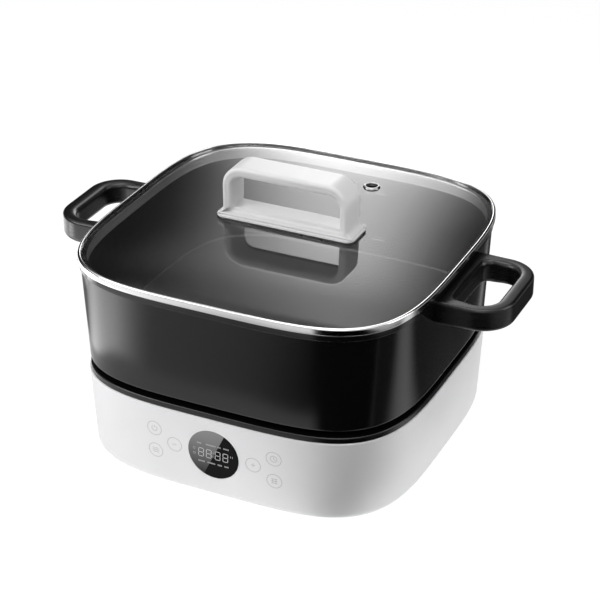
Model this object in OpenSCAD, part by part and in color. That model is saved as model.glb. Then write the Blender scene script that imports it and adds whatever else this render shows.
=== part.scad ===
// Square countertop hot pot: a heating base, a lift-off cooking pot with two
// loop handles and a lift-off glass lid. Sizes are in millimetres. The feet
// stand on z = 0 and the front with the round display faces -Y.

/* [Base] */
// Half width of the housing at its top edge.
base_half = 145; // [130:1:160]
// How far each housing wall leans in from its top to its bottom.
base_draft = 3; // [0:0.5:6]
// Height of the housing without its feet.
base_height = 75; // [70:1:95]
// Round on the bottom edge of the housing.
base_edge = 9; // [4:1:14]
// Thickness of the housing walls.
base_wall = 3; // [2:0.5:4]
// Height of the feet.
foot_height = 3; // [2:0.5:6]
// Diameter of a foot.
foot_diameter = 22; // [16:1:28]
// Thickness of the bottom cover.
cover_thickness = 2.5; // [2:0.5:4]
// Height of the dark ring above the housing.
ring_height = 5; // [3:0.5:9]
// How much narrower the dark ring is than the housing, on each side.
ring_inset = 0.8; // [0:0.2:3]

/* [Heater] */
// Diameter of the heating plate.
plate_diameter = 183; // [160:1:200]
// Thickness of the heating plate.
plate_thickness = 4.5; // [3.5:0.5:8]
// How far the heating plate stands above the dark ring.
plate_rise = 2.5; // [1:0.5:5]
// Radius of the ring that the heating tube is bent to.
element_radius = 62; // [50:1:70]
// Diameter of the heating tube.
element_diameter = 8; // [6:0.5:9]
// Diameter of the spring-loaded sensor cap.
sensor_diameter = 24; // [22:1:30]
// How far the sensor cap rises when the pot is lifted off.
sensor_travel = 2.5; // [1:0.5:2.5]

/* [Power board] */
// Length of the power board, along X.
board_length = 116; // [110:1:126]
// Width of the power board, along Y.
board_width = 76; // [74:1:86]
// Height of the posts that carry it.
board_rise = 8; // [6:0.5:12]

/* [Display] */
// Diameter of the round display window.
display_diameter = 45; // [38:1:50]
// Height of the display centre above the table.
display_centre = 45.3; // [38:0.1:52]
// Side offset of the outer touch keys.
key_outer = 53; // [46:1:60]
// Side offset of the inner touch keys.
key_inner = 35; // [30:1:40]
// Height of the outer touch keys above and below the display centre.
key_rise = 10.6; // [8:0.1:14]

/* [Inlet] */
// Height of the power inlet centre above the table.
inlet_centre = 32; // [26:1:44]
// Width of the inlet opening.
inlet_width = 24.4; // [22:0.2:27]
// Height of the inlet opening.
inlet_opening = 16.6; // [14:0.2:19]
// Depth of the inlet opening.
inlet_depth = 17; // [14:1:20]

/* [Pot] */
// Half width of the pot wall at its lower edge.
pot_low_half = 144.1; // [138:0.1:147]
// Half width of the pot wall below its lip.
pot_top_half = 147.3; // [142:0.1:156]
// How far the lip stands out from the wall.
lip_out = 0.9; // [0.5:0.1:2]
// Height of the lip.
lip_height = 5.5; // [4:0.5:12]
// Thickness of the pot wall.
pot_wall = 3; // [2:0.5:4]
// Thickness of the pot floor.
pot_floor = 3.5; // [2.5:0.5:6]
// Thickness of the heating disc under the floor.
disc_thickness = 2; // [1:0.5:4]
// Height of the pot from the underside of its disc to the lip.
pot_height = 90.5; // [70:0.5:120]

/* [Pot handles] */
// How far a handle reaches out from the pot wall.
handle_length = 54.7; // [46:0.1:70]
// Width of a handle along the pot wall.
handle_width = 94; // [76:1:110]
// Height of a handle from its underside to its top.
handle_height = 20; // [16:1:24]
// Distance from the lower edge of the lip down to the top of a handle.
handle_drop = 0.5; // [0.5:0.1:12]
// Width of the outer bar of a handle.
handle_bar = 13; // [10:0.5:17]
// Width of the two arms of a handle.
handle_arm = 11; // [9:0.5:15]
// Round on the long edges of a handle.
handle_edge = 5.5; // [3:0.5:7]

/* [Lid] */
// How far the steel rim stands out past the lip.
rim_out = 1.1; // [0.6:0.1:2]
// Depth of the skirt that centres the lid inside the pot.
skirt_depth = 8; // [4:0.5:16]
// How far the rim stands up past the edge of the glass.
rim_rise = 2; // [1:0.1:3]
// Thickness of the rim sheet.
rim_sheet = 0.8; // [0.5:0.1:1.2]
// Thickness of the glass.
glass_thickness = 3.6; // [3:0.2:5]
// How far the glass rises from its edge to its crown.
glass_dome = 5.6; // [3:0.2:14]
// Side offset of the steam vent.
vent_x = 32; // [20:1:50]
// Distance of the steam vent behind the centre.
vent_y = 92; // [86:1:98]
// Diameter of the vent flange.
vent_diameter = 14.5; // [10:0.5:18]

/* [Lid handle] */
// Length of the foot of the lid handle.
grip_foot_length = 123; // [118:1:128]
// Depth of the foot of the lid handle.
grip_foot_depth = 34; // [28:1:40]
// Length of the bridge.
grip_length = 112; // [100:1:116]
// Depth of the bridge.
grip_depth = 27; // [20:1:27]
// Height of the lid handle above the glass.
grip_height = 46.5; // [38:0.5:60]
// Thickness of the top of the bridge.
grip_bar = 9.5; // [7:0.5:12]
// Thickness of the two legs of the bridge.
grip_leg = 8; // [6:0.5:10]

/* [Clearances] */
// Gap around fitted parts of the base.
fit_gap = 0.3; // [0.1:0.1:0.5]
// Gap between the sensor cap and the plate hole.
sensor_gap = 0.6; // [0.4:0.1:1]
// Gap between the lid skirt and the pot wall.
lid_gap = 0.8; // [0.4:0.1:1.5]
// Gap between a screw thread and its bore.
thread_gap = 0.1; // [0.1:0.1:0.3]

/* [Hidden] */

$fn = 64;
sides = 72;

white_plastic = [0.9, 0.9, 0.91];
black_plastic = [0.1, 0.1, 0.11];
bare_metal = [0.75, 0.76, 0.78];
dark_metal = [0.13, 0.13, 0.14];
green_board = [0.1, 0.35, 0.2];
rubber_grey = [0.25, 0.25, 0.27];

// Levels of the base, from the table up.
house_low = foot_height;
house_top = house_low + base_height;
ring_top = house_top + ring_height;
plate_top = ring_top + plate_rise;
plate_low = plate_top - plate_thickness;
gasket_thickness = 1.5;
ledge_top = plate_low - gasket_thickness;
ledge_low = ledge_top - 5.5;
cover_top = house_low + cover_thickness;
low_half = base_half - base_draft;
lean = atan(base_draft / (base_height - base_edge));
cover_half = low_half - base_edge - 7;
// Where the outline crosses the diagonal, as a share of its half width.
corner = pow(0.5, 0.25);
foot_pin = 6;
post_offset = corner * (cover_half - 5) - foot_pin - 0.5;
post_radius = 5;
ring_skirt = base_half - base_wall - 0.12 * base_draft - fit_gap;
plate_radius = plate_diameter / 2;
ledge_radius = plate_radius - 6;
seat_gap = 0.2;
shield_top = ledge_low - seat_gap;
shield_low = ledge_low - 8;
shield_sheet = 0.8;
sensor_radius = sensor_diameter / 2;
cap_sheet = 1.5;
cap_flange_top = plate_low - sensor_travel - 0.5;
cap_flange_low = cap_flange_top - 1.5;
guide_top = shield_low + shield_sheet + 1.5;
guide_radius = 20;
guide_neck = 5;
fuse_x = (sensor_radius + 3 + element_radius - element_diameter / 2) / 2;
board_sheet = 1.6;
relay_size = [22, 16, 16];
coil_size = [26, 22, 4];
board_top = cover_top + board_rise + board_sheet;
peg_x = board_length / 2 - 6;
peg_y = board_width / 2 - 6;

// The front wall, seen straight on.
display_radius = display_diameter / 2;
face_y = low_half + (display_centre - house_low - base_edge) * tan(lean);
window_thickness = base_wall - 0.8;
board_depth = base_wall + 7;
board_post = key_outer + 11;
board_post_y = 14;
circuit_sheet = 1.6;
board_rim = 6;

// The back wall with the inlet.
pad_y = low_half + (inlet_centre - house_low - base_edge) * tan(lean) + 1;
inlet_flange = 2.5;
inlet_screw = 20.5;
inlet_wall = 2;
pad_size = [54, 6, 30];
pin_end = pad_y - inlet_depth - 8;
pin_spots = [[-7, -1], [0, 3], [7, -1]];

// Levels of the pot.
pot_low = plate_top;
floor_low = pot_low + disc_thickness;
floor_top = floor_low + pot_floor;
lip_top = pot_low + pot_height;
lip_low = lip_top - lip_height;
lip_half = pot_top_half + lip_out;
wall_low = floor_low + 3;
groove_radii = [plate_radius - 19.5, plate_radius - 39.5, plate_radius - 59.5];
groove_half = 0.8;
groove_depth = 0.4;
grip_top = lip_low - handle_drop;
grip_low = grip_top - handle_height;
function wall_half(z) = pot_low_half
  + (pot_top_half - pot_low_half) * (z - wall_low) / (lip_low - wall_low);
root_x = max(wall_half(grip_top), wall_half(grip_low));
root_in = min(wall_half(grip_top), wall_half(grip_low)) - 3;
root_bar = 9;
tongue = root_x + 5.5 - root_in;
handle_reach = root_x + handle_length;
bracket_half = 16;
bracket_skin = 4;
handle_screw_x = root_x + 2.6;
handle_screw_y = 9;

// Levels of the lid.
rim_low = lip_top;
glass_low = rim_low + rim_sheet;
edge_top = glass_low + glass_thickness;
crown_top = edge_top + glass_dome;
crown_low = crown_top - glass_thickness;
skirt_half = pot_top_half - pot_wall - lid_gap - rim_sheet;
rim_half = lip_half + rim_out;
vent_half = pow(pow(vent_x, 4) + pow(vent_y, 4), 0.25);
crown_half = 68;
slope_half = 114;
slope_drop = 0.36 * glass_dome;
vent_lean = atan(slope_drop / (slope_half - crown_half));
vent_top = crown_top - (vent_half - crown_half) * tan(vent_lean);
gasket_top = crown_top + 0.8;
backing_low = crown_low - 1.6;
screw_x = grip_length / 2 - grip_leg / 2;
lid_screw_reach = 16;
grip_corner = 18;
grip_sill = 8;
flange_step = 1.2;
flange_corner = 6;

// One outline of the pot family: a square with softly rounded corners.
function outline(w) = [for (i = [0 : sides - 1])
  let (a = 360 * (i + 0.5) / sides, c = cos(a), s = sin(a))
  [w * sign(c) * sqrt(abs(c)), w * sign(s) * sqrt(abs(s))]];

// A solid through a list of [half width, level]. A closed list makes a ring.
module loft(rings, closed = false) {
  m = len(rings);
  last = closed ? m - 1 : m - 2;
  points = [for (r = rings) for (p = outline(r[0])) [p[0], p[1], r[1]]];
  walls = [for (j = [0 : last]) for (i = [0 : sides - 1])
    let (k = (i + 1) % sides, u = ((j + 1) % m) * sides, d = j * sides)
    [d + i, u + i, u + k, d + k]];
  caps = closed ? [] : [[for (i = [0 : sides - 1]) i],
    [for (i = [sides - 1 : -1 : 0]) (m - 1) * sides + i]];
  polyhedron(points = points, faces = concat(walls, caps), convexity = 8);
}

// A straight plate with that outline.
module slab(w, low, top) {
  translate([0, 0, low]) linear_extrude(top - low) polygon(outline(w));
}

module round_rect(x, y, r) {
  square([x - 2 * r, y], center = true);
  square([x, y - 2 * r], center = true);
  for (i = [-1, 1], j = [-1, 1])
    translate([i * (x / 2 - r), j * (y / 2 - r)]) circle(r);
}

module rod(r, low, top) {
  translate([0, 0, low]) cylinder(r = r, h = top - low);
}

module tube(outer, inner, low, top) {
  difference() {
    rod(outer, low, top);
    rod(inner, low - 1, top + 1);
  }
}

// A screw that points up: its head hangs below the given level.
module screw_up(level, head, head_height, shank, reach) {
  rod(shank, level, level + reach);
  rod(head, level - head_height, level);
}

// A round bar along a path.
function unit(v) = v / norm(v);
module sweep(path, r, count) {
  n = len(path);
  rings = [for (i = [0 : n - 1])
    let (t = unit(path[min(i + 1, n - 1)] - path[max(i - 1, 0)]),
      s = unit(cross(t, abs(t[2]) > 0.95 ? [1, 0, 0] : [0, 0, 1])),
      u = cross(s, t))
    for (k = [0 : count - 1])
      path[i] + r * cos(360 * k / count) * s + r * sin(360 * k / count) * u];
  walls = [for (i = [0 : n - 2]) for (k = [0 : count - 1])
    let (q = (k + 1) % count, a = i * count + k, b = i * count + q)
    for (f = [[a, b, b + count], [a, b + count, a + count]]) f];
  caps = [[for (k = [count - 1 : -1 : 0]) k],
    [for (k = [0 : count - 1]) (n - 1) * count + k]];
  polyhedron(points = rings, faces = concat(walls, caps), convexity = 6);
}
function bend(a, b, c, d, n) = [for (i = [0 : n])
  let (t = i / n, s = 1 - t)
  s * s * s * a + 3 * s * s * t * b + 3 * s * t * t * c + t * t * t * d];

// Places a piece on the front wall, with its local z pointing outwards.
module on_front() {
  translate([0, -face_y, display_centre]) rotate([90 + lean, 0, 0]) children();
}

// ---- heating base ----

module base_housing() color(white_plastic) {
  a = base_edge;
  in_low = low_half - base_wall;
  in_top = base_half - base_wall;
  difference() {
    union() {
      loft([[cover_half, house_low], [low_half - a, house_low],
        [low_half - 0.62 * a, house_low + 0.08 * a],
        [low_half - 0.29 * a, house_low + 0.29 * a],
        [low_half - 0.08 * a, house_low + 0.62 * a],
        [low_half, house_low + a], [base_half - 0.6, house_top - 1],
        [base_half - 1.2, house_top],
        [in_top, house_top], [in_low, house_low + a],
        [in_low - 1, cover_top + 2.5], [cover_half - 5, cover_top + 2.5],
        [cover_half - 5, cover_top], [cover_half, cover_top]], true);
      // Flat pad that carries the inlet.
      translate([0, pad_y, inlet_centre] - [pad_size[0] / 2, pad_size[1], pad_size[2] / 2])
        cube(pad_size);
      // Posts for the display board.
      on_front() for (x = [-board_post, board_post], y = [-board_post_y, board_post_y])
        translate([x, y, -board_depth]) cylinder(r = 3, h = board_depth - 2.6);
    }
    on_front() {
      translate([0, 0, -window_thickness])
        cylinder(r = display_radius + fit_gap / 2, h = 10);
      translate([0, 0, -12]) cylinder(r = display_radius - 2.5, h = 12);
      for (x = [-board_post, board_post], y = [-board_post_y, board_post_y])
        translate([x, y, -board_depth - 1])
          cylinder(r = 1 + thread_gap, h = 7.5);
    }
    translate([0, pad_y + 1, inlet_centre]) rotate([90, 0, 0])
      linear_extrude(30) round_rect(inlet_width + 2 * inlet_wall + fit_gap,
        inlet_opening + 2 * inlet_wall + fit_gap, 4);
    for (x = [-inlet_screw, inlet_screw]) translate([x, pad_y + 1, inlet_centre])
      rotate([90, 0, 0]) cylinder(r = 1.5 + thread_gap, h = 20);
  }
}

module base_bottom_cover() color(white_plastic) difference() {
  union() {
    slab(cover_half - fit_gap, house_low, cover_top);
    for (x = [-peg_x, peg_x], y = [-peg_y, peg_y])
      translate([x, y, 0]) rod(3.5, cover_top - 0.5, cover_top + board_rise);
  }
  for (x = [-1, 1], y = [-1, 1])
    translate([x * post_offset, y * post_offset, house_low - 1])
      cylinder(r = foot_pin + fit_gap / 2, h = cover_thickness + 2);
  for (x = [-peg_x, peg_x], y = [-peg_y, peg_y])
    translate([x, y, 0]) rod(1.2 + thread_gap, cover_top, board_top);
  // Air slots under the power board.
  for (i = [-4 : 4]) translate([i * 9 - 1.5, -22, house_low - 1])
    cube([3, 44, cover_thickness + 2]);
}

module top_ring() color(black_plastic) difference() {
  union() {
    slab(base_half - ring_inset, house_top, ring_top);
    slab(ring_skirt, house_top - 6, house_top);
    rod(plate_radius + 4, ledge_low, ring_top);
    for (x = [-1, 1], y = [-1, 1])
      translate([x * post_offset, y * post_offset, 0])
        rod(post_radius, cover_top, house_top + 1);
  }
  rod(plate_radius + fit_gap, ledge_top, ring_top + 1);
  rod(ledge_radius, ledge_low - 1, ring_top + 1);
  // Hollow behind the skirt.
  difference() {
    slab(ring_skirt - 2.5, house_top - 7, house_top);
    rod(plate_radius + 4, ledge_low, house_top + 1);
    for (x = [-1, 1], y = [-1, 1])
      translate([x * post_offset, y * post_offset, 0])
        rod(post_radius, cover_top, house_top + 1);
  }
  for (x = [-1, 1], y = [-1, 1])
    translate([x * post_offset, y * post_offset, 0])
      rod(1.5 + thread_gap, cover_top - 1, cover_top + 22);
  for (a = [45 : 90 : 315]) rotate(a) translate([plate_radius - 2, 0, 0])
    rod(1 + thread_gap, ledge_low - 1, ledge_low + 4.5);
}

module feet() color(rubber_grey)
  for (x = [-1, 1], y = [-1, 1])
    translate([x * post_offset, y * post_offset, 0]) difference() {
      union() {
        cylinder(r1 = foot_diameter / 2 - 1, r2 = foot_diameter / 2,
          h = foot_height);
        rod(foot_pin - fit_gap / 2, foot_height - 0.5, cover_top);
      }
      rod(4, -1, foot_height);
      rod(1.5 + thread_gap, -1, cover_top + 1);
    }

module foot_screws() color(bare_metal)
  for (x = [-1, 1], y = [-1, 1])
    translate([x * post_offset, y * post_offset, 0]) difference() {
      screw_up(foot_height, 3.4, 1.4, 1.5, cover_thickness + 18);
      rod(1.1, foot_height - 2, foot_height - 0.6);
    }

module plate_gasket() color(rubber_grey)
  tube(plate_radius - 0.2, ledge_radius + 0.5, ledge_top, plate_low);

module heating_plate() color(bare_metal) difference() {
  union() {
    rod(plate_radius, plate_low, plate_top - 0.8);
    translate([0, 0, plate_top - 0.8])
      cylinder(r1 = plate_radius, r2 = plate_radius - 0.8, h = 0.8);
  }
  rod(sensor_radius + sensor_gap, plate_low - 1, plate_top + 1);
}

module heating_element() color(dark_metal) {
  r = element_diameter / 2;
  rotate(20) rotate_extrude(angle = 320) translate([element_radius, 0]) {
    translate([0, plate_low - r]) circle(r);
    translate([-r, plate_low - r]) square([2 * r, r]);
  }
  for (a = [20, 340]) rotate(a) translate([element_radius, 0, 0])
    rod(2.5, shield_low - 6, plate_low - r);
}

module heat_shield() color(bare_metal) {
  difference() {
    rotate_extrude() polygon([
      [8, shield_low], [ledge_radius - 1, shield_low],
      [ledge_radius - 1, shield_top - shield_sheet],
      [plate_radius + 2, shield_top - shield_sheet],
      [plate_radius + 2, shield_top],
      [ledge_radius - 1 - shield_sheet, shield_top],
      [ledge_radius - 1 - shield_sheet, shield_low + shield_sheet],
      [8, shield_low + shield_sheet]]);
    for (a = [20, 340]) rotate(a) translate([element_radius, 0, 0])
      rod(3.6, shield_low - 1, shield_low + 2);
    for (a = [45 : 90 : 315]) rotate(a) translate([plate_radius - 2, 0, 0])
      rod(1.3 + thread_gap, ledge_low - 2, ledge_low + 1);
  }
}

module shield_screws() color(bare_metal)
  for (a = [45 : 90 : 315]) rotate(a) translate([plate_radius - 2, 0, 0])
    screw_up(shield_top - shield_sheet, 2.6, 1.6, 1, shield_sheet + 4);

module sensor_guide() color(black_plastic) difference() {
  union() {
    rod(guide_radius, shield_low + shield_sheet, guide_top);
    rod(guide_neck, guide_top, plate_low - 2);
    rod(7.6, shield_low - 2, shield_low + shield_sheet);
  }
  rod(2.5, shield_low - 3, plate_low);
}

module sensor_spring() color(bare_metal) {
  low = guide_top + 0.7;
  top = plate_top - cap_sheet - 0.7;
  turns = 5;
  sweep([for (i = [0 : turns * 14])
    [7.6 * cos(i * 360 / 14), 7.6 * sin(i * 360 / 14),
      low + (top - low) * i / (turns * 14)]], 0.7, 6);
}

module sensor_cap() color(bare_metal) difference() {
  union() {
    rod(sensor_radius, cap_flange_low, plate_top - 0.6);
    translate([0, 0, plate_top - 0.6])
      cylinder(r1 = sensor_radius, r2 = sensor_radius - 0.6, h = 0.6);
    rod(sensor_radius + 3, cap_flange_low, cap_flange_top);
  }
  rod(sensor_radius - cap_sheet, cap_flange_low - 1, plate_top - cap_sheet);
}

module thermal_fuse() color([0.6, 0.55, 0.45]) translate([fuse_x, 0, 0]) {
  translate([-7, -4, plate_low - 4]) cube([14, 8, 4]);
  for (x = [-10, 6]) translate([x, -1.5, plate_low - 2.6]) cube([4, 3, 0.8]);
}

module power_board() color(green_board) difference() {
  translate([-board_length / 2, -board_width / 2, cover_top + board_rise])
    cube([board_length, board_width, board_sheet]);
  for (x = [-peg_x, peg_x], y = [-peg_y, peg_y])
    translate([x, y, 0]) rod(1.4 + thread_gap, cover_top, board_top + 1);
}

module board_screws() color(bare_metal)
  for (x = [-peg_x, peg_x], y = [-peg_y, peg_y]) translate([x, y, 0]) {
    rod(1.2, board_top - board_sheet - 5, board_top);
    rod(2.4, board_top, board_top + 1.8);
  }

module power_relay() color([0.12, 0.2, 0.5]) {
  translate([20, 6, board_top]) cube(relay_size);
  translate([20, -16, board_top]) cube(relay_size);
}

module transformer() color([0.8, 0.7, 0.25]) translate([-44, -4, board_top]) {
  cube(coil_size);
  translate([3, 3, coil_size[2]])
    cube([coil_size[0] - 6, coil_size[1] - 6, 11]);
  translate([0, 0, coil_size[2] + 11]) cube(coil_size);
}

module capacitors() color(dark_metal) {
  translate([-34, -22, 0]) rod(6, board_top, board_top + 20);
  translate([-18, -24, 0]) rod(4, board_top, board_top + 12);
  translate([-2, 26, 0]) rod(5, board_top, board_top + 15);
  translate([-4, 0, board_top]) cube([8, 14, 12]);
}

module heat_sink() color(bare_metal) translate([-2, -32, board_top]) {
  cube([40, 2.5, 22]);
  for (i = [0 : 6]) translate([i * 6.25, 0, 0]) cube([2.5, 10, 22]);
}

module heater_wires() color([0.75, 0.2, 0.15]) {
  for (s = [-1, 1]) {
    a = s > 0 ? 20 : 340;
    p = [element_radius * cos(a), element_radius * sin(a), shield_low - 6];
    q = [46, s * 18, board_top];
    sweep(concat([p], bend(p - [0, 0, 1.5], p - [0, 0, 14],
      q + [0, 0, 18], q + [0, 0, 2], 12), [q]), 1.3, 8);
  }
}

module mains_wires() color([0.35, 0.25, 0.18]) {
  for (s = [-1, 1]) {
    p = [s * 7, pin_end, inlet_centre - 1];
    q = [s * 7 + 8, 34, board_top];
    sweep(concat([p], bend(p - [0, 1.5, 0], p - [0, 14, 0],
      q + [0, 4, 22], q + [0, 0, 3], 12), [q]), 1.3, 8);
  }
}

module display_window() color([0.03, 0.03, 0.035]) on_front()
  translate([0, 0, -window_thickness]) {
    cylinder(r = display_radius, h = window_thickness);
    translate([0, 0, window_thickness])
      cylinder(r1 = display_radius, r2 = display_radius - 0.4, h = 0.4);
  }

module display_module() color([0.2, 0.2, 0.21]) on_front()
  translate([0, 0, -board_depth])
    cylinder(r = display_radius - 3.5, h = board_depth - window_thickness);

module display_board() color(green_board) on_front() difference() {
  translate([-board_post - board_rim, 1 - board_post_y - board_rim, -board_depth - circuit_sheet])
    cube([2 * (board_post + board_rim), 2 * (board_post_y + board_rim - 1), circuit_sheet]);
  for (x = [-board_post, board_post], y = [-board_post_y, board_post_y])
    translate([x, y, -board_depth - 3]) cylinder(r = 1.3, h = 6);
}

module display_screws() color(bare_metal) on_front()
  for (x = [-board_post, board_post], y = [-board_post_y, board_post_y])
    translate([x, y, -board_depth - circuit_sheet]) {
    cylinder(r = 1, h = circuit_sheet + 5.4);
    translate([0, 0, -1.6]) cylinder(r = 2.2, h = 1.6);
  }

function sag(x) = face_y * (1 - pow(1 - pow(x / face_y, 4), 0.25));
module touch_springs() color(bare_metal) on_front() {
  for (x = [-1, 1], y = [-1, 1])
    touch_spring(x * key_outer, y * key_rise);
  for (x = [-1, 1]) touch_spring(x * key_inner, 0);
}
module touch_spring(x, y) translate([x, y, -board_depth]) difference() {
  h = board_depth - base_wall - sag(x) - fit_gap - seat_gap;
  cylinder(r = 3.2, h = h);
  translate([0, 0, 0.8]) cylinder(r = 2.2, h = h);
}

module inlet_housing() color(black_plastic) difference() {
  union() {
    translate([0, pad_y + inlet_flange, inlet_centre]) rotate([90, 0, 0])
      linear_extrude(inlet_flange) round_rect(50, 26, 6);
    translate([0, pad_y + 0.5, inlet_centre]) rotate([90, 0, 0])
      linear_extrude(inlet_depth + 3.5) round_rect(inlet_width + 2 * inlet_wall,
        inlet_opening + 2 * inlet_wall, 4);
  }
  translate([0, pad_y + inlet_flange + 1, inlet_centre]) rotate([90, 0, 0])
    linear_extrude(inlet_depth + 1) round_rect(inlet_width,
      inlet_opening, 2.5);
  for (x = [-inlet_screw, inlet_screw]) translate([x, pad_y + 5, inlet_centre])
    rotate([90, 0, 0]) cylinder(r = 1.5 + thread_gap, h = 20);
  for (p = pin_spots)
    translate([p[0] - 1.1, pin_end, inlet_centre + p[1] - 2.1])
      cube([2.2, inlet_depth, 4.2]);
}

module inlet_pins() color(bare_metal)
  for (p = pin_spots)
    translate([p[0] - 1, pin_end, inlet_centre + p[1] - 2])
      cube([2, inlet_depth + 5, 4]);

module inlet_screws() color(bare_metal)
  for (x = [-inlet_screw, inlet_screw])
    translate([x, pad_y + inlet_flange, inlet_centre]) rotate([90, 0, 0]) {
      cylinder(r = 1.5, h = 9);
      translate([0, 0, -1.6]) cylinder(r1 = 2.2, r2 = 2.9, h = 1.6);
    }

// ---- pot ----

module pot_body() color(dark_metal)
  loft([[pot_low_half - 3.6, floor_low],
    [pot_low_half - 1.4, floor_low + 0.4],
    [pot_low_half - 0.3, floor_low + 1.5],
    [pot_low_half, wall_low], [pot_top_half, lip_low],
    [lip_half, lip_low + 0.9], [lip_half, lip_top - 0.8],
    [lip_half - 0.7, lip_top], [pot_top_half - pot_wall + 0.5, lip_top],
    [pot_top_half - pot_wall, lip_top - 0.7],
    [pot_top_half - pot_wall, lip_low],
    [pot_low_half - pot_wall, floor_top + 5],
    [pot_low_half - pot_wall - 0.7, floor_top + 2.4],
    [pot_low_half - pot_wall - 2.4, floor_top + 0.7],
    [pot_low_half - pot_wall - 5, floor_top]]);

module pot_base_disc() color(bare_metal) difference() {
  union() {
    translate([0, 0, pot_low])
      cylinder(r1 = plate_radius - 2.5, r2 = plate_radius - 2, h = 0.5);
    rod(plate_radius - 2, pot_low + 0.5, floor_low);
  }
  // Grooves that leave the disc some spring.
  for (r = groove_radii)
    tube(r + groove_half, r - groove_half, pot_low - 1, pot_low + groove_depth);
}

// Closed loops of the handle, from the wall side around to the outer bar.
function arc(cx, cy, r, a, b, n) = [for (i = [0 : n])
  let (t = a + (b - a) * i / n) [cx + r * cos(t), cy + r * sin(t)]];
function loop(x0, x1, h, r0, r1) = concat(
  arc(x0 + r0, -h + r0, r0, 180, 270, 4),
  arc(x1 - r1, -h + r1, r1, 270, 360, 8),
  arc(x1 - r1, h - r1, r1, 0, 90, 8),
  arc(x0 + r0, h - r0, r0, 90, 180, 4));

// Section of the handle: [share of the inner edge, inset from it, level].
module loop_handle() {
  outer = loop(root_in - 1, handle_reach, handle_width / 2, 3, 28);
  inner = loop(root_x + root_bar, handle_reach - handle_bar,
    handle_width / 2 - handle_arm, 5, 15);
  n = len(outer);
  e = handle_edge;
  half = handle_height / 2;
  mid = grip_low + half;
  turn = [0, 22.5, 45, 67.5, 90];
  cuts = concat(
    [for (t = turn) [0, e * (1 - cos(t)), half - e + e * sin(t)]],
    [for (t = turn) [1, e * (1 - sin(t)), half - e + e * cos(t)]],
    [for (t = turn) [1, e * (1 - cos(t)), -half + e - e * sin(t)]],
    [for (t = turn) [0, e * (1 - sin(t)), -half + e - e * cos(t)]]);
  m = len(cuts);
  points = [for (i = [0 : n - 1]) for (c = cuts)
    let (d = unit(outer[i] - inner[i]),
      p = c[0] == 0 ? inner[i] + c[1] * d : outer[i] - c[1] * d)
    [p[0], p[1], mid + c[2]]];
  faces = [for (i = [0 : n - 1]) for (k = [0 : m - 1])
    let (a = i * m + k, b = i * m + (k + 1) % m,
      c = ((i + 1) % n) * m + (k + 1) % m, d = ((i + 1) % n) * m + k)
    for (f = [[a, b, c], [a, c, d]]) f];
  polyhedron(points = points, faces = faces, convexity = 8);
}

module wall_cutter() {
  low = grip_low - 6;
  loft([[wall_half(low), low], [wall_half(lip_low), lip_low]]);
}

module pot_handle() color(black_plastic) difference() {
  loop_handle();
  wall_cutter();
  // Pocket for the bracket and the two screws from below.
  translate([root_in, -bracket_half - fit_gap, grip_low + bracket_skin - fit_gap])
    cube([tongue + fit_gap, 2 * (bracket_half + fit_gap),
      handle_height - 2 * bracket_skin + 2 * fit_gap]);
  for (y = [-handle_screw_y, handle_screw_y]) translate([handle_screw_x, y, 0]) {
    rod(1.5 + thread_gap, grip_low - 1, grip_low + 5);
    rod(2.8, grip_low - 1, grip_low + 2.2);
  }
}

module handle_bracket() color(bare_metal) difference() {
  translate([root_in, -bracket_half, grip_low + bracket_skin])
    cube([tongue, 2 * bracket_half, handle_height - 2 * bracket_skin]);
  wall_cutter();
  for (y = [-handle_screw_y, handle_screw_y]) translate([handle_screw_x, y, 0])
    rod(1.5 + thread_gap, grip_low - 1, grip_low + 11);
}

module handle_screws() color(bare_metal)
  for (y = [-handle_screw_y, handle_screw_y]) translate([handle_screw_x, y, 0])
    screw_up(grip_low + 2.2, 2.6, 1.8, 1.5, 8);

module pot_handle_right() pot_handle();
module pot_handle_left() rotate(180) pot_handle();
module handle_bracket_right() handle_bracket();
module handle_bracket_left() rotate(180) handle_bracket();
module handle_screws_right() handle_screws();
module handle_screws_left() rotate(180) handle_screws();

// ---- lid ----

module glass_holes() {
  for (x = [-1, 1]) translate([x * screw_x, 0, 0])
    rod(3, crown_low - 4, crown_top + 4);
  on_vent() cylinder(r = vent_diameter / 2 - 2, h = 40, center = true);
}

module on_vent() {
  translate([vent_x, vent_y, vent_top])
    rotate([0, vent_lean, atan2(pow(vent_y, 3), pow(vent_x, 3))]) children();
}

module lid_glass() color([0.6, 0.65, 0.68]) difference() {
  t = glass_thickness;
  e = rim_half - rim_sheet - 0.6;
  f = rim_half - 5;
  s = (slope_half + f) / 2;
  m = edge_top + 0.36 * glass_dome;
  low_f = skirt_half - 0.4;
  loft([[crown_half, crown_low], [slope_half, crown_low - slope_drop],
    [s, m - t], [low_f, glass_low], [e, glass_low], [e, edge_top],
    [f, edge_top], [s, m], [slope_half, crown_top - slope_drop],
    [crown_half, crown_top]]);
  glass_holes();
}

module lid_rim() color(bare_metal) {
  w = rim_half;
  t = rim_sheet;
  top = edge_top + rim_rise;
  inner = w - 2.1;
  loft([[skirt_half + t, rim_low - skirt_depth], [skirt_half + t, rim_low],
    [w - 0.9, rim_low], [w - 0.2, rim_low + 0.9],
    [w, top - 1.4], [w - 0.25, top - 0.6],
    [w - 0.8, top - 0.1], [w - 1.3, top], [inner + 0.2, top - 0.2],
    [inner, top - 0.6], [inner, edge_top], [w - t - 0.4, edge_top],
    [w - t - 0.4, glass_low], [skirt_half, glass_low],
    [skirt_half, rim_low - skirt_depth]], true);
}

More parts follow.
